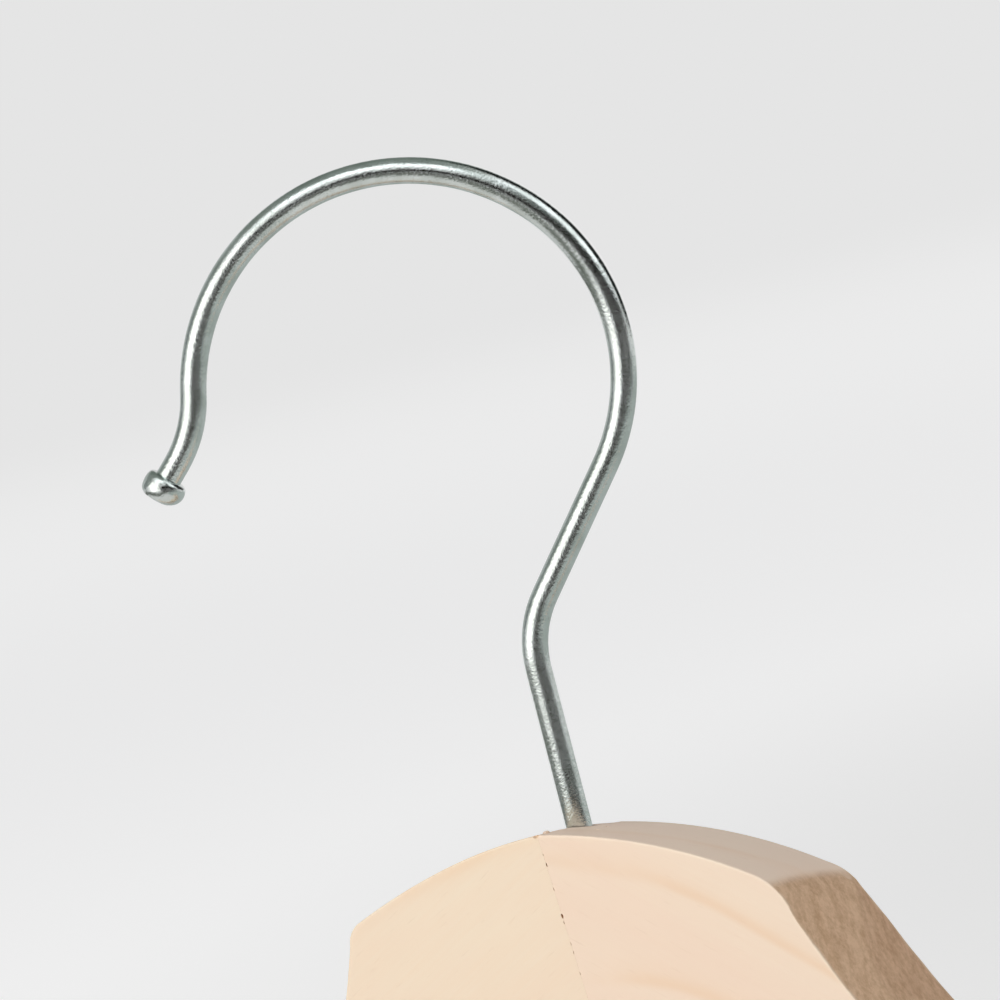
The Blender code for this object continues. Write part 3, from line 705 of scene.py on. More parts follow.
# The die leaves the two ends a little narrower
narrower, end_ring = 0.1 * MM, 0.12 * MM
only()
bpy.ops.mesh.primitive_circle_add(
    vertices=rib_count * per_rib, radius=crest, fill_type="NOTHING",
    location=centre - Vector((size.x / 2, 0, 0)), rotation=(0, math.pi / 2, 0))
sleeve = begin("ribbed_bar_sleeve")
shape = bmesh.from_edit_mesh(sleeve.data)
for vert in shape.verts:
    angle = math.atan2(vert.co.y, vert.co.x)
    # Rounded crests with narrow valleys between
    raised = rib_height * abs(math.cos(rib_count * angle / 2)) ** 0.8
    vert.co *= (crest - rib_height + raised - narrower) / vert.co.length
bmesh.update_edit_mesh(sleeve.data)
bpy.ops.mesh.select_all(action="SELECT")
bpy.ops.mesh.extrude_edges_move(TRANSFORM_OT_translate={"value": (end_ring, 0, 0)})
grown = crest / (crest - narrower)
bpy.ops.transform.resize(value=(1, grown, grown), center_override=centre)
for _ in range(stations):
    bpy.ops.mesh.extrude_edges_move(
        TRANSFORM_OT_translate={"value": ((size.x - 2 * end_ring) / stations, 0, 0)})
bpy.ops.mesh.extrude_edges_move(TRANSFORM_OT_translate={"value": (end_ring, 0, 0)})
bpy.ops.transform.resize(value=(1, 1 / grown, 1 / grown), center_override=centre)
print("the sleeve has", rib_count, "ribs and is", round(size.x / MM, 1), "mm long")

# %% Give the sleeve its bore
bore = bore_radius / (crest - narrower)
end = size.x / 2 - 0.01 * MM
for side in (-1, 1):
    pick(sleeve, "edges", lambda edge: all(
        side * (sleeve.matrix_world @ vert.co - centre).x > end for vert in edge.verts))
    bpy.ops.mesh.extrude_edges_move()
    bpy.ops.transform.resize(value=(1, bore, bore), center_override=centre)
    shape = bmesh.from_edit_mesh(sleeve.data)
    for vert in shape.verts:
        if vert.select:
            flat = Vector((vert.co.x, vert.co.y, 0))
            vert.co += flat * (bore_radius / flat.length - 1)
    bmesh.update_edit_mesh(sleeve.data)
pick(sleeve, "edges", lambda edge: len(edge.link_faces) == 1)
bpy.ops.mesh.bridge_edge_loops()
bpy.ops.mesh.select_all(action="SELECT")
bpy.ops.mesh.normals_make_consistent(inside=False)
finish(sleeve, "bar_sleeve", angle=50)

# %% [markdown]
# ## Bare maple
# The wings are bare, finely sanded wood, pale and creamy, with soft pinkish figure. Wood is grown in rings
# round the middle of the trunk, so the pattern is made in the solid: the distance from a line far behind
# the board, warped a little, gives the rings, and where a face cuts them at a slant they open into the
# long arcs of a flat-sawn board. Fine fibres run along the same line. Where a face cuts across the fibres
# it drinks in light and looks darker and warmer, which is worked out from the face's own direction.

# %% Build a bare wood
def bare_wood(
        name, pale, figure, deep, turn, pith, ring, worn, knot=None, shift=0.0, figure_turn=None, heart=None):
    """A sanded wood, with the two tones of its face and of its cut ends, and the rings' spacing.

    The grain is turned about Y, and pith moves the line that the rings lie round. A knot bows the rings,
    shift moves them by a share of their spacing, figure_turn turns them apart from the fibres, and near the
    heart they are drawn strongest.
    """
    wood, tree, surface = new_finish(name)
    place = add(tree, "ShaderNodeTexCoord")
    lengthways = add(tree, "ShaderNodeMapping", {
        "Vector": place.outputs["Object"], "Location": pith, "Rotation": (0, turn, 0)})
    figured = add(tree, "ShaderNodeMapping", {
        "Vector": place.outputs["Object"], "Location": pith,
        "Rotation": (0, turn if figure_turn is None else figure_turn, 0)})
    # Slow wandering of the rings, about 30 mm across and much longer along the grain
    stretched = add(tree, "ShaderNodeMapping", {"Vector": figured.outputs[0], "Scale": (0.22, 1, 1)})
    wander = add(tree, "ShaderNodeTexNoise", {
        "Vector": stretched.outputs[0], "Scale": 34.0, "Detail": 3.0, "Roughness": 0.45})
    split = add(tree, "ShaderNodeSeparateXYZ", {"Vector": figured.outputs[0]})
    high = add(tree, "ShaderNodeMath", {0: split.outputs[1], 1: 2.0}, operation="POWER")
    wide = add(tree, "ShaderNodeMath", {0: split.outputs[2], 1: 2.0}, operation="POWER")
    both = add(tree, "ShaderNodeMath", {0: high.outputs[0], 1: wide.outputs[0]}, operation="ADD")
    radius = add(tree, "ShaderNodeMath", {0: both.outputs[0]}, operation="SQRT")
    warped = add(tree, "ShaderNodeMath", {
        0: wander.outputs[0], 1: 9 * MM, 2: radius.outputs[0]}, operation="MULTIPLY_ADD")
    if knot:
        to_knot = add(tree, "ShaderNodeVectorMath", {
            0: place.outputs["Object"], 1: knot}, operation="DISTANCE")
        bowed = add(tree, "ShaderNodeMapRange", {
            0: to_knot.outputs["Value"], 1: 50 * MM, 2: 0.0, 3: 0.0, 4: -15 * MM},
            interpolation_type="SMOOTHSTEP")
        warped = add(tree, "ShaderNodeMath", {0: warped.outputs[0], 1: bowed.outputs[0]}, operation="ADD")
    phase = add(tree, "ShaderNodeMath", {
        0: warped.outputs[0], 1: 1 / ring, 2: shift}, operation="MULTIPLY_ADD")
    tooth = add(tree, "ShaderNodeMath", {0: phase.outputs[0]}, operation="FRACT")
    # A ring darkens slowly and ends sharply
    rings = add(tree, "ShaderNodeValToRGB", {0: tooth.outputs[0]}, stops=(
        (0.001, 0.0), (0.04, 0.0), (0.55, 0.0), (0.75, 0.16), (0.83, 0.9), (0.88, 1.0), (0.92, 0.4),
        (0.955, 0.0), (0.999, 0.0)))
    rings.color_ramp.interpolation = "B_SPLINE"
    strong = add(tree, "ShaderNodeTexNoise", {
        "Vector": stretched.outputs[0], "Scale": 110.0, "Detail": 4.0, "Roughness": 0.6})
    where = add(tree, "ShaderNodeMapRange", {0: strong.outputs[0], 1: 0.4, 2: 0.68})
    if heart:
        to_heart = add(tree, "ShaderNodeVectorMath", {
            0: place.outputs["Object"], 1: heart}, operation="DISTANCE")
        near_heart = add(tree, "ShaderNodeMapRange", {
            0: to_heart.outputs["Value"], 1: 8 * MM, 2: 30 * MM, 3: 0.3, 4: -0.06},
            interpolation_type="SMOOTHSTEP")
        where = add(tree, "ShaderNodeMath", {
            0: where.outputs[0], 1: near_heart.outputs[0]}, operation="ADD", use_clamp=True)
    drawn = add(tree, "ShaderNodeMath", {0: rings.outputs[0], 1: where.outputs[0]}, operation="MULTIPLY")
    # Fibres: 0.35 mm across and some 12 mm long, drawn coarser than real ones so that they show
    fibre_place = add(tree, "ShaderNodeMapping", {"Vector": lengthways.outputs[0], "Scale": (0.035, 1, 1)})
    fibres = add(tree, "ShaderNodeTexNoise", {
        "Vector": fibre_place.outputs[0], "Scale": 2600.0, "Detail": 2.5, "Roughness": 0.6})
    # Short dark pores, 0.2 mm across and 2 mm long
    pore_place = add(tree, "ShaderNodeMapping", {"Vector": lengthways.outputs[0], "Scale": (0.1, 1, 1)})
    pores = add(tree, "ShaderNodeTexNoise", {
        "Vector": pore_place.outputs[0], "Scale": 2200.0, "Detail": 2.0, "Roughness": 0.5})
    pored = add(tree, "ShaderNodeMapRange", {0: pores.outputs[0], 1: 0.64, 2: 0.78, 3: 0.0, 4: 0.13})
    # Broad clouds of a slightly pinker tone
    clouds = add(tree, "ShaderNodeTexNoise", {
        "Vector": stretched.outputs[0], "Scale": 95.0, "Detail": 4.0, "Roughness": 0.55})
    cloudy = add(tree, "ShaderNodeMapRange", {0: clouds.outputs[0], 1: 0.35, 2: 0.72})
    base = add(tree, "ShaderNodeMix", {
        0: cloudy.outputs[0], 6: paint(pale[0]), 7: paint(pale[1])}, data_type="RGBA")
    ringed = add(tree, "ShaderNodeMix", {
        0: drawn.outputs[0], 6: base.outputs[2], 7: paint(figure)}, data_type="RGBA")
    thread = add(tree, "ShaderNodeMapRange", {0: fibres.outputs[0], 1: 0.3, 2: 0.75, 3: 0.0, 4: 0.16})
    threaded = add(tree, "ShaderNodeMix", {
        0: thread.outputs[0], 6: ringed.outputs[2], 7: paint(figure)}, data_type="RGBA")
    dotted = add(tree, "ShaderNodeMix", {
        0: pored.outputs[0], 6: threaded.outputs[2], 7: paint(deep[1])}, data_type="RGBA")
    # End grain shows where a face looks along the fibres, which lean half as much as the grain's turn
    grain = Vector((math.cos(turn / 2), 0, math.sin(turn / 2)))
    across = add(tree, "ShaderNodeVectorMath", {
        0: place.outputs["Normal"], 1: grain}, operation="DOT_PRODUCT")
    facing = add(tree, "ShaderNodeMath", {0: across.outputs["Value"]}, operation="ABSOLUTE")
    end_grain = add(tree, "ShaderNodeMapRange", {
        0: facing.outputs[0], 1: 0.36, 2: 0.58, 3: 0.0, 4: 0.9}, interpolation_type="SMOOTHSTEP")
    # The cut ends of the fibres: streaks 1.4 mm wide that run down the face, and fine mottling
    streak_place = add(tree, "ShaderNodeMapping", {
        "Vector": place.outputs["Object"], "Rotation": (math.radians(-38), 0, 0), "Scale": (1, 1, 4.5)},
        vector_type="TEXTURE")
    streaks = add(tree, "ShaderNodeTexNoise", {
        "Vector": streak_place.outputs[0], "Scale": 720.0, "Detail": 3.0, "Roughness": 0.6})
    mottling = add(tree, "ShaderNodeTexNoise", {
        "Vector": place.outputs["Object"], "Scale": 1150.0, "Detail": 5.0, "Roughness": 0.8})
    flecks = add(tree, "ShaderNodeMix", {0: 0.55, 2: streaks.outputs[0], 3: mottling.outputs[0]})
    flecked = add(tree, "ShaderNodeMapRange", {0: flecks.outputs[0], 1: 0.405, 2: 0.605})
    end_tone = add(tree, "ShaderNodeMix", {
        0: flecked.outputs[0], 6: paint(deep[0]), 7: paint(deep[1])}, data_type="RGBA")
    cut_across = add(tree, "ShaderNodeMix", {
        0: end_grain.outputs[0], 6: dotted.outputs[2], 7: end_tone.outputs[2]}, data_type="RGBA")
    # Painted shade: the slope behind the ridge faces away from the lamps, and is painted a little darker
    # where it is cut across
    rear_shade_attr = add(tree, "ShaderNodeAttribute", attribute_name="rear_shade")
    rear_shaded = add(tree, "ShaderNodeMath", {
        0: rear_shade_attr.outputs["Fac"], 1: end_grain.outputs[0]}, operation="MULTIPLY")
    cut_across = add(tree, "ShaderNodeMix", {
        0: rear_shaded.outputs[0], 6: cut_across.outputs[2], 7: paint("F4EFEC")},
        data_type="RGBA", blend_type="MULTIPLY")
    # Rubbed edges are a little paler, in patches
    edge = add(tree, "ShaderNodeAttribute", attribute_name="edge_wear")
    patchy = add(tree, "ShaderNodeTexNoise", {
        "Vector": place.outputs["Object"], "Scale": 420.0, "Detail": 3.0})
    patches = add(tree, "ShaderNodeMapRange", {0: patchy.outputs[0], 1: 0.35, 2: 0.65, 3: 0.25, 4: 0.9})
    rub = add(tree, "ShaderNodeMath", {0: edge.outputs["Fac"], 1: patches.outputs[0]}, operation="MULTIPLY")
    rubbed = add(tree, "ShaderNodeMix", {
        0: rub.outputs[0], 6: cut_across.outputs[2], 7: paint(worn)}, data_type="RGBA")
    # Painted contact shade: a soft grey-brown ring darkens the wood round the wire's hole
    from_stem = add(tree, "ShaderNodeVectorMath", {
        0: place.outputs["Object"], 1: stem}, operation="SUBTRACT")
    flat = add(tree, "ShaderNodeVectorMath", {0: from_stem.outputs[0], 1: (1, 1, 0)}, operation="MULTIPLY")
    distance = add(tree, "ShaderNodeVectorMath", {0: flat.outputs[0]}, operation="LENGTH")
    hole_shade = add(tree, "ShaderNodeMapRange", {
        0: distance.outputs["Value"], 1: 2.7 * MM, 2: 1.9 * MM, 3: 0.0, 4: 0.75},
        interpolation_type="SMOOTHSTEP")
    hole_shaded = add(tree, "ShaderNodeMix", {
        0: hole_shade.outputs[0], 6: rubbed.outputs[2], 7: paint("7C6A5A")}, data_type="RGBA")
    tree.links.new(hole_shaded.outputs[2], surface.inputs["Base Color"])
    # Sanded wood is nearly dull; the hard late wood and the rubbed edges shine a little more
    dull = add(tree, "ShaderNodeMapRange", {0: fibres.outputs[0], 1: 0.3, 2: 0.7, 3: 0.66, 4: 0.54})
    shine = add(tree, "ShaderNodeMath", {
        0: rub.outputs[0], 1: -0.14, 2: dull.outputs[0]}, operation="MULTIPLY_ADD")
    tree.links.new(shine.outputs[0], surface.inputs["Roughness"])
    surface.inputs["IOR"].default_value = 1.5
    surface.inputs["Specular IOR Level"].default_value = 0.42
    felt = add(tree, "ShaderNodeMix", {0: end_grain.outputs[0], 2: fibres.outputs[0], 3: mottling.outputs[0]})
    nap = add(tree, "ShaderNodeBump", {"Height": felt.outputs[0], "Strength": 0.28, "Distance": 0.05 * MM})
    relief = add(tree, "ShaderNodeBump", {
        "Height": drawn.outputs[0], "Strength": 0.35, "Distance": 0.04 * MM, "Normal": nap.outputs[0]})
    tree.links.new(relief.outputs[0], surface.inputs["Normal"])
    return wood


def dress(piece, material):
    """Give a piece its finish."""
    piece.data.materials.clear()
    piece.data.materials.append(material)
    print(piece.name, "is finished in", material.name)


dress(right_wing, bare_wood(
    "sanded_maple_right", ("F3DDC6", "F2D7C1"), "EFD1B4", ("DBB691", "BB936C"),
    math.radians(-33.5), (-0.01, 0.06, -0.03), 10.8 * MM, "F4E0C8", knot=(-0.018, -0.006, -0.104), shift=0.29,
    heart=(0.036, -0.006, -0.103)))
dress(left_wing, bare_wood(
    "sanded_maple_left", ("F2DFC6", "F2DAC1"), "F0CFAC", ("DBB591", "BD946D"),
    math.radians(30), (0.02, 0.16, 0.02), 14 * MM, "F5E5CC", shift=0.61,
    figure_turn=math.radians(15), heart=(-0.017, -0.006, -0.094)))

# %% [markdown]
# The bar and the dowels are the same sort of wood, turned from straight-grained blanks, so their grain runs
# along X and their rings are closer.

# %% Dress the turned wood
dress(bar, bare_wood(
    "turned_maple_bar", ("EAD3B4", "E4C8A6"), "D4AC84", ("BE9670", "9E7852"),
    0.0, (0, 0.03, 0.02), 2.6 * MM, "F2DEC2"))
dowel_wood = bare_wood(
    "fluted_birch_dowel", ("DEC09A", "D6B48C"), "C49A70", ("AE8660", "8E6A46"),
    0.0, (0, 0.02, 0.03), 1.8 * MM, "E8CEAA")
for node in ("upper_seam_dowel", "lower_seam_dowel"):
    dress(rods[node], dowel_wood)

# %% [markdown]
# ## Bright plated wire
# The wire was drawn through a die, bent, and plated with bright zinc, which has a slightly blue-green cast.
# Drawing leaves fine lines along the wire and the plating leaves tiny pits, so the reflections break up
# into specks at their edges. Both are bumps; the colour hardly changes.

# %% Plate the wire
def plated_wire():
    """Bright zinc on drawn wire."""
    zinc, tree, surface = new_finish("bright_zinc_wire")
    place = add(tree, "ShaderNodeTexCoord")
    # Pits 0.25 mm across: real ones are finer and would not show
    pits = add(tree, "ShaderNodeTexNoise", {
        "Vector": place.outputs["Object"], "Scale": 2900.0, "Detail": 3.0, "Roughness": 0.65})
    patches = add(tree, "ShaderNodeTexNoise", {
        "Vector": place.outputs["Object"], "Scale": 260.0, "Detail": 3.0})
    patchy = add(tree, "ShaderNodeMapRange", {0: patches.outputs[0], 1: 0.4, 2: 0.62})
    tint = add(tree, "ShaderNodeMix", {
        0: patchy.outputs[0], 6: paint("DDE3E1"), 7: paint("CBD2CE")}, data_type="RGBA")
    speck = add(tree, "ShaderNodeMapRange", {0: pits.outputs[0], 1: 0.62, 2: 0.72, 3: 0.0, 4: 0.5})
    specked = add(tree, "ShaderNodeMix", {
        0: speck.outputs[0], 6: tint.outputs[2], 7: paint("8B837B")}, data_type="RGBA")
    tree.links.new(specked.outputs[2], surface.inputs["Base Color"])
    surface.inputs["Metallic"].default_value = 1.0
    gloss = add(tree, "ShaderNodeMapRange", {0: patches.outputs[0], 1: 0.35, 2: 0.65, 3: 0.05, 4: 0.1})
    tree.links.new(gloss.outputs[0], surface.inputs["Roughness"])
    depth = add(tree, "ShaderNodeMapRange", {0: pits.outputs[0], 1: 0.35, 2: 0.65})
    # Shallow ripples 0.6 mm long, which break up the edges of every reflection
    ripples = add(tree, "ShaderNodeTexNoise", {
        "Vector": place.outputs["Object"], "Scale": 1600.0, "Detail": 2.0, "Roughness": 0.5})
    rippled = add(tree, "ShaderNodeBump", {
        "Height": ripples.outputs[0], "Strength": 0.3, "Distance": 0.06 * MM})
    bumps = add(tree, "ShaderNodeBump", {
        "Height": depth.outputs[0], "Strength": 0.36, "Distance": 0.04 * MM, "Normal": rippled.outputs[0]})
    tree.links.new(bumps.outputs[0], surface.inputs["Normal"])
    return zinc


dress(hook, plated_wire())

# %% [markdown]
# ## Drawn steel pins and the vinyl sleeve
# The pins are plain bright steel, dulled by the driving punch. The sleeve is soft extruded vinyl, off-white
# and slightly translucent, with a faint bloom and fine lines from the die.

# %% Steel for the pins, vinyl for the sleeve
def drawn_steel():
    """Bright drawn steel, a little dull."""
    steel, tree, surface = new_finish("drawn_steel_pin")
    place = add(tree, "ShaderNodeTexCoord")
    # Spots half a millimetre across, larger than the real drawing marks, so that they show
    rough = add(tree, "ShaderNodeTexNoise", {
        "Vector": place.outputs["Object"], "Scale": 1800.0, "Detail": 4.0})
    shade = add(tree, "ShaderNodeMix", {
        0: rough.outputs[0], 6: paint("A9A9AA"), 7: paint("8D8B88")}, data_type="RGBA")
    tree.links.new(shade.outputs[2], surface.inputs["Base Color"])
    surface.inputs["Metallic"].default_value = 1.0
    gloss = add(tree, "ShaderNodeMapRange", {0: rough.outputs[0], 1: 0.3, 2: 0.7, 3: 0.26, 4: 0.42})
    tree.links.new(gloss.outputs[0], surface.inputs["Roughness"])
    bumps = add(tree, "ShaderNodeBump", {"Height": rough.outputs[0], "Strength": 0.3, "Distance": 0.02 * MM})
    tree.links.new(bumps.outputs[0], surface.inputs["Normal"])
    return steel


def soft_vinyl():
    """Off-white soft vinyl, extruded: a bloom in patches, and lines from the die along the sleeve."""
    vinyl, tree, surface = new_finish("soft_vinyl_sleeve")
    place = add(tree, "ShaderNodeTexCoord")
    bloom = add(tree, "ShaderNodeTexNoise", {
        "Vector": place.outputs["Object"], "Scale": 60.0, "Detail": 4.0, "Roughness": 0.6})
    lined = add(tree, "ShaderNodeMapping", {"Vector": place.outputs["Object"], "Scale": (0.02, 1, 1)})
    lines = add(tree, "ShaderNodeTexNoise", {
        "Vector": lined.outputs[0], "Scale": 2400.0, "Detail": 2.0})
    soft = add(tree, "ShaderNodeMapRange", {0: bloom.outputs[0], 1: 0.35, 2: 0.7})
    shade = add(tree, "ShaderNodeMix", {
        0: soft.outputs[0], 6: paint("E3DFD2"), 7: paint("D8D2C2")}, data_type="RGBA")
    tree.links.new(shade.outputs[2], surface.inputs["Base Color"])
    gloss = add(tree, "ShaderNodeMapRange", {0: bloom.outputs[0], 1: 0.3, 2: 0.7, 3: 0.34, 4: 0.5})
    tree.links.new(gloss.outputs[0], surface.inputs["Roughness"])
    surface.inputs["IOR"].default_value = 1.53
    surface.inputs["Subsurface Weight"].default_value = 0.25
    surface.inputs["Subsurface Radius"].default_value = (1.0, 0.8, 0.6)
    surface.inputs["Subsurface Scale"].default_value = 0.6 * MM
    bumps = add(tree, "ShaderNodeBump", {"Height": lines.outputs[0], "Strength": 0.2, "Distance": 0.03 * MM})
    tree.links.new(bumps.outputs[0], surface.inputs["Normal"])
    return vinyl


pin_steel = drawn_steel()
for node in ("hook_lock_pin", "left_bar_pin", "right_bar_pin"):
    dress(rods[node], pin_steel)
dress(sleeve, soft_vinyl())

# %% [markdown]
# ## The studio
# The hanger hangs in a pale studio with a dim even sky and a pale floor just under the shoulders. A large
# soft lamp in front and a little to the left lights the broad faces, one above lights the tops, one on the
# right lights the cut side, and a weak one keeps the back from going dull. The camera and all reflections
# see the pale backdrop, but that is not more light on the hanger: it is switched on only for the rays that
# look at it.

# %% Rays that look, and rays that light
def looking(tree):
    """A value that is 1 for rays of the camera, of mirrors and of glass, and 0 for rays that carry light."""
    path = add(tree, "ShaderNodeLightPath")
    seen = add(tree, "ShaderNodeMath", {
        0: path.outputs["Is Camera Ray"], 1: path.outputs["Is Glossy Ray"]}, operation="ADD")
    seen = add(tree, "ShaderNodeMath", {
        0: seen.outputs[0], 1: path.outputs["Is Transmission Ray"]}, operation="ADD", use_clamp=True)
    return seen.outputs[0]


backdrop = paint("E5E5E5")
world = bpy.data.worlds.new("studio")
bpy.context.scene.world = world
world.use_nodes = True
sky = world.node_tree
dim = add(sky, "ShaderNodeBackground", {"Color": paint("F4F6FF"), "Strength": 0.29})
pale = add(sky, "ShaderNodeBackground", {"Color": backdrop, "Strength": 1.0})
chosen = add(sky, "ShaderNodeMixShader", {0: looking(sky), 1: dim.outputs[0], 2: pale.outputs[0]})
sky.links.new(chosen.outputs[0], sky.nodes["World Output"].inputs["Surface"])
print("backdrop in linear values:", [round(value, 3) for value in backdrop[:3]])

# %% The floor
floor_height = packed_box[0].z - 0.1 * MM
only()
bpy.ops.mesh.primitive_circle_add(vertices=96, radius=5, fill_type="NGON", location=(0, 0, floor_height))
floor = bpy.context.object
floor.name = "pale_floor"
bpy.ops.object.transform_apply(location=True)
board, tree, surface = new_finish("pale_paper_floor")
tree.nodes.remove(surface)
place = add(tree, "ShaderNodeTexCoord")
distance = add(tree, "ShaderNodeVectorMath", {0: place.outputs["Object"]}, operation="LENGTH")
# In front and beside the hanger the lamps stand close, so the paper goes plain sooner there than behind it
towards = add(tree, "ShaderNodeVectorMath", {
    0: place.outputs["Object"], 1: (-0.35, 0.94, 0.0)}, operation="DOT_PRODUCT")
behind = add(tree, "ShaderNodeMapRange", {
    0: towards.outputs["Value"], 1: 0.15, 2: 0.45}, interpolation_type="SMOOTHSTEP")
far_behind = add(tree, "ShaderNodeMapRange", {
    0: distance.outputs["Value"], 1: 0.7, 2: 2.6}, interpolation_type="SMOOTHSTEP")
far_before = add(tree, "ShaderNodeMapRange", {
    0: distance.outputs["Value"], 1: 0.3, 2: 1.0}, interpolation_type="SMOOTHSTEP")
far = add(tree, "ShaderNodeMix", {0: behind.outputs[0], 2: far_before.outputs[0], 3: far_behind.outputs[0]})
# A painted soft shadow of the hanger greys the paper behind its head, and the paper is seen a little paler
# than the lamps make it
paper = add(tree, "ShaderNodeBsdfDiffuse", {"Color": paint("DFDEDA")})
shade_place = add(tree, "ShaderNodeVectorMath", {
    0: place.outputs["Object"], 1: (-0.04, 0.56, 0.0)}, operation="DISTANCE")
shaded = add(tree, "ShaderNodeMapRange", {
    0: shade_place.outputs["Value"], 1: 0.22, 2: 0.62, 3: 0.44, 4: 0.62}, interpolation_type="SMOOTHSTEP")
evened = add(tree, "ShaderNodeMapRange", {0: behind.outputs[0], 3: 0.4, 4: 1.0})
lifted = add(tree, "ShaderNodeMath", {0: evened.outputs[0], 1: shaded.outputs[0]}, operation="MULTIPLY")
lift = add(tree, "ShaderNodeMath", {0: looking(tree), 1: lifted.outputs[0]}, operation="MULTIPLY")
glow = add(tree, "ShaderNodeEmission", {"Color": backdrop, "Strength": lift.outputs[0]})
near = add(tree, "ShaderNodeAddShader", {0: paper.outputs[0], 1: glow.outputs[0]})
# Far off it goes over into the backdrop's tone
sweep_end = add(tree, "ShaderNodeMapRange", {
    0: distance.outputs["Value"], 1: 1.7, 2: 3.1}, interpolation_type="SMOOTHSTEP")
sweep_tone = add(tree, "ShaderNodeMix", {
    0: sweep_end.outputs[0], 6: paint("EFEFEF"), 7: backdrop}, data_type="RGBA")
away = add(tree, "ShaderNodeEmission", {"Color": sweep_tone.outputs[2], "Strength": 1.0})
fade = add(tree, "ShaderNodeMath", {0: far.outputs[0], 1: looking(tree)}, operation="MULTIPLY")
mixed = add(tree, "ShaderNodeMixShader", {0: fade.outputs[0], 1: near.outputs[0], 2: away.outputs[0]})
tree.links.new(mixed.outputs[0], tree.nodes["Material Output"].inputs["Surface"])
floor.data.materials.append(board)

# %% [markdown]
# The lamps are told where to hang as a turn round the hook and a height above it, both in degrees, and how
# many degrees they fill. The wire must not mirror them, because their places suit the wood, not the wire.

# %% Four soft lamps
def direction(azimuth, elevation):
    """The way from the hook to a place in the studio: azimuth 0 is in front, 90 is on the right."""
    turn, rise = math.radians(azimuth), math.radians(elevation)
    return Vector((math.sin(turn) * math.cos(rise), -math.cos(turn) * math.cos(rise), math.sin(rise)))


eye = Vector((0, 0, -0.06))


def panel(name, azimuth, elevation, away, wide, tall):
    """Where a flat panel stands that fills a number of degrees, seen from the hook, and how large it is."""
    way = direction(azimuth, elevation)
    turn = way.to_track_quat("Z", "Y").to_euler()
    size = [2 * away * math.tan(math.radians(angle / 2)) for angle in (wide, tall)]
    print(name, "is", round(size[0], 2), "by", round(size[1], 2), "m")
    return eye + way * away, turn, size


def soft_lamp(name, azimuth, elevation, away, wide, tall, brightness, colour):
    """Hang a soft lamp. Brightness is what its face looks like: 1 is white."""
    place, turn, size = panel(name, azimuth, elevation, away, wide, tall)
    only()
    bpy.ops.object.light_add(type="AREA", location=place, rotation=turn)
    lamp = bpy.context.object
    lamp.name = name
    lamp.data.shape = "RECTANGLE"
    lamp.data.size, lamp.data.size_y = size
    lamp.data.energy = brightness * math.pi * size[0] * size[1]
    lamp.data.color = colour
    lamp.visible_camera = lamp.visible_glossy = False


soft_lamp("soft_front_lamp", -22, 14, 1.6, 52, 46, 2.2, (1.0, 0.985, 0.96))
soft_lamp("soft_upper_lamp", 10, 47, 1.8, 70, 34, 1.27, (0.97, 0.99, 1.0))
soft_lamp("soft_right_lamp", 82, 33, 2.0, 50, 42, 1.0, (0.97, 0.99, 1.0))
soft_lamp("soft_back_lamp", 150, 8, 2.0, 44, 20, 1.2, (1.0, 0.98, 0.96))

# %% [markdown]
# The wire is a curved mirror: what makes it look like bright wire is what stands round it. So cards that
# only mirrors see stand in a ring: bright ones where the lamps' faces should be seen, nearly black ones that
# give the wire its dark bands, and greys between. The lowest ones lie on the floor.

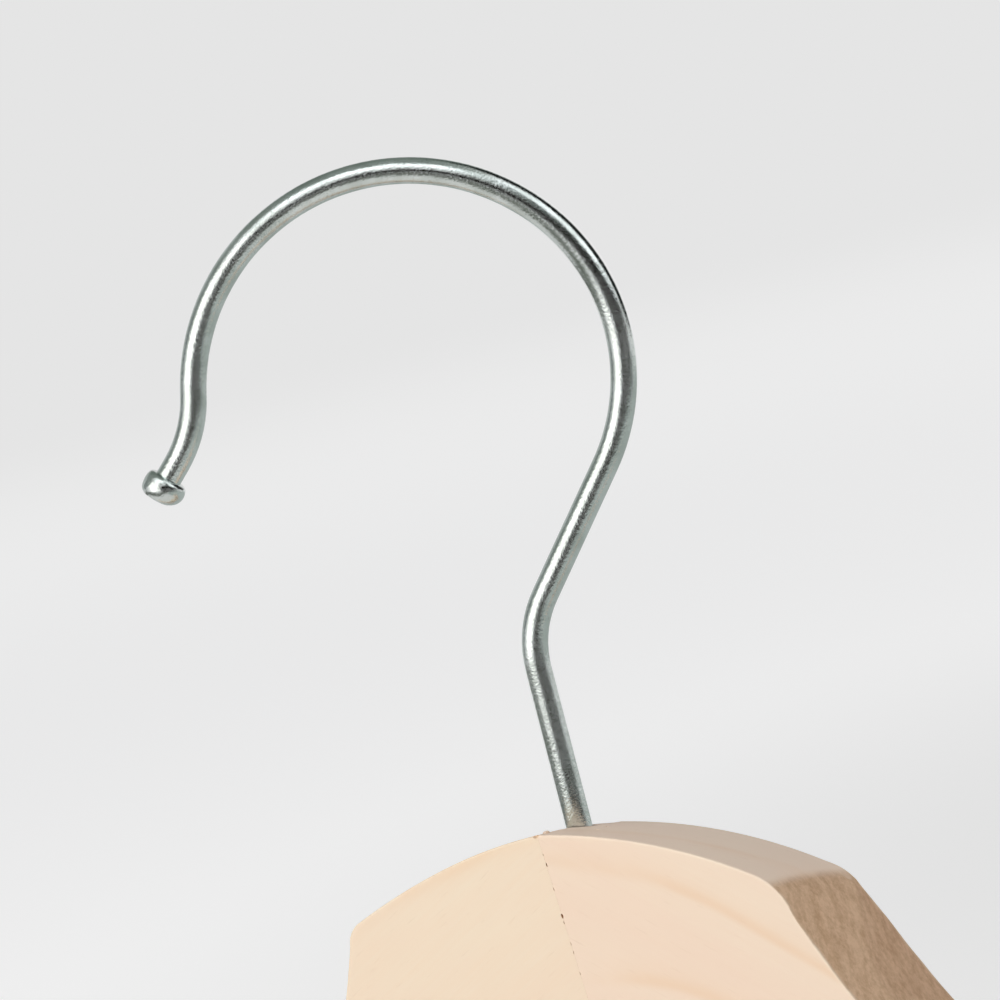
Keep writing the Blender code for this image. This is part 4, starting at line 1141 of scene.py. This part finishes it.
# %% Cards for the wire to mirror
def card(name, place, turn, size, colour, brightness=1.0):
    """Stand or lay a flat card that only mirrors see."""
    only()
    bpy.ops.mesh.primitive_plane_add(size=1, location=place, rotation=turn)
    piece = bpy.context.object
    piece.name = name
    piece.scale = (*size, 1)
    bpy.ops.object.transform_apply(location=True, rotation=True, scale=True)
    look, tree, surface = new_finish(name)
    tree.nodes.remove(surface)
    plain = add(tree, "ShaderNodeEmission", {"Color": paint(colour), "Strength": brightness})
    tree.links.new(plain.outputs[0], tree.nodes["Material Output"].inputs["Surface"])
    piece.data.materials.append(look)
    piece.visible_camera = piece.visible_diffuse = piece.visible_shadow = False
    piece.visible_transmission = piece.visible_volume_scatter = False


for name, azimuth, elevation, away, wide, tall, colour, brightness in (
    ("lamp_face_front", -20, 15, 1.7, 47, 41, "FFFDF8", 1.9),
    ("lamp_face_upper", 27, 50, 1.9, 54, 30, "FAFDFF", 1.8),
    ("lamp_face_right", 104, 31, 2.0, 40, 46, "FAFDFF", 1.4),
    ("dark_card_front", 41, 1, 2.1, 54, 34, "16110E", 1.0),
    ("dark_card_right", 93, 1, 2.1, 52, 27, "16110E", 1.0),
    ("dark_card_back", 156, 24, 2.1, 52, 64, "242625", 1.0),
    ("grey_card_gap", 65, 36, 2.2, 30, 44, "6E7472", 1.0),
    ("grey_card_left", -81, 8, 2.3, 24, 70, "7C8280", 1.0),
    ("pale_card_left", -114, 8, 2.3, 34, 70, "BCC1BF", 1.0),
    ("grey_card_upper_left", -66, 42, 2.3, 34, 44, "8F9691", 1.0),
    ("grey_card_back_left", -140, 52, 2.4, 80, 50, "7A837D", 1.0),
    ("grey_card_above", 40, 84, 2.5, 60, 60, "8E9691", 1.0),
):
    card(name, *panel(name, azimuth, elevation, away, wide, tall), colour, brightness)


def lay(name, azimuth, near, far, wide, colour):
    """Lay a card on the floor, from a near to a far distance from the hook."""
    middle = direction(azimuth, 0) * (near + far) / 2
    place = (middle.x, middle.y, floor_height + 0.5 * MM)
    card(name, place, (0, 0, math.radians(azimuth)), (wide, far - near), colour)


lay("grey_board_in_front", -15, 0.27, 0.68, 1.1, "7A7C76")
lay("grey_board_left", -72, 0.48, 1.6, 1.2, "767974")
lay("dark_board_front", 42, 0.5, 1.5, 0.8, "241C18")
lay("dark_board_right", 84, 0.52, 1.5, 0.8, "241C18")
lay("grey_board_right", 116, 0.10, 1.0, 0.9, "B4BAB7")
lay("grey_board_behind", 180, 0.10, 1.0, 0.9, "B4BAB7")

# %% [markdown]
# ## Finish
# The colours are shown as they are, with the Standard view transform.

# %% Set the view transform
scene = bpy.context.scene
scene.view_settings.view_transform = "Standard"
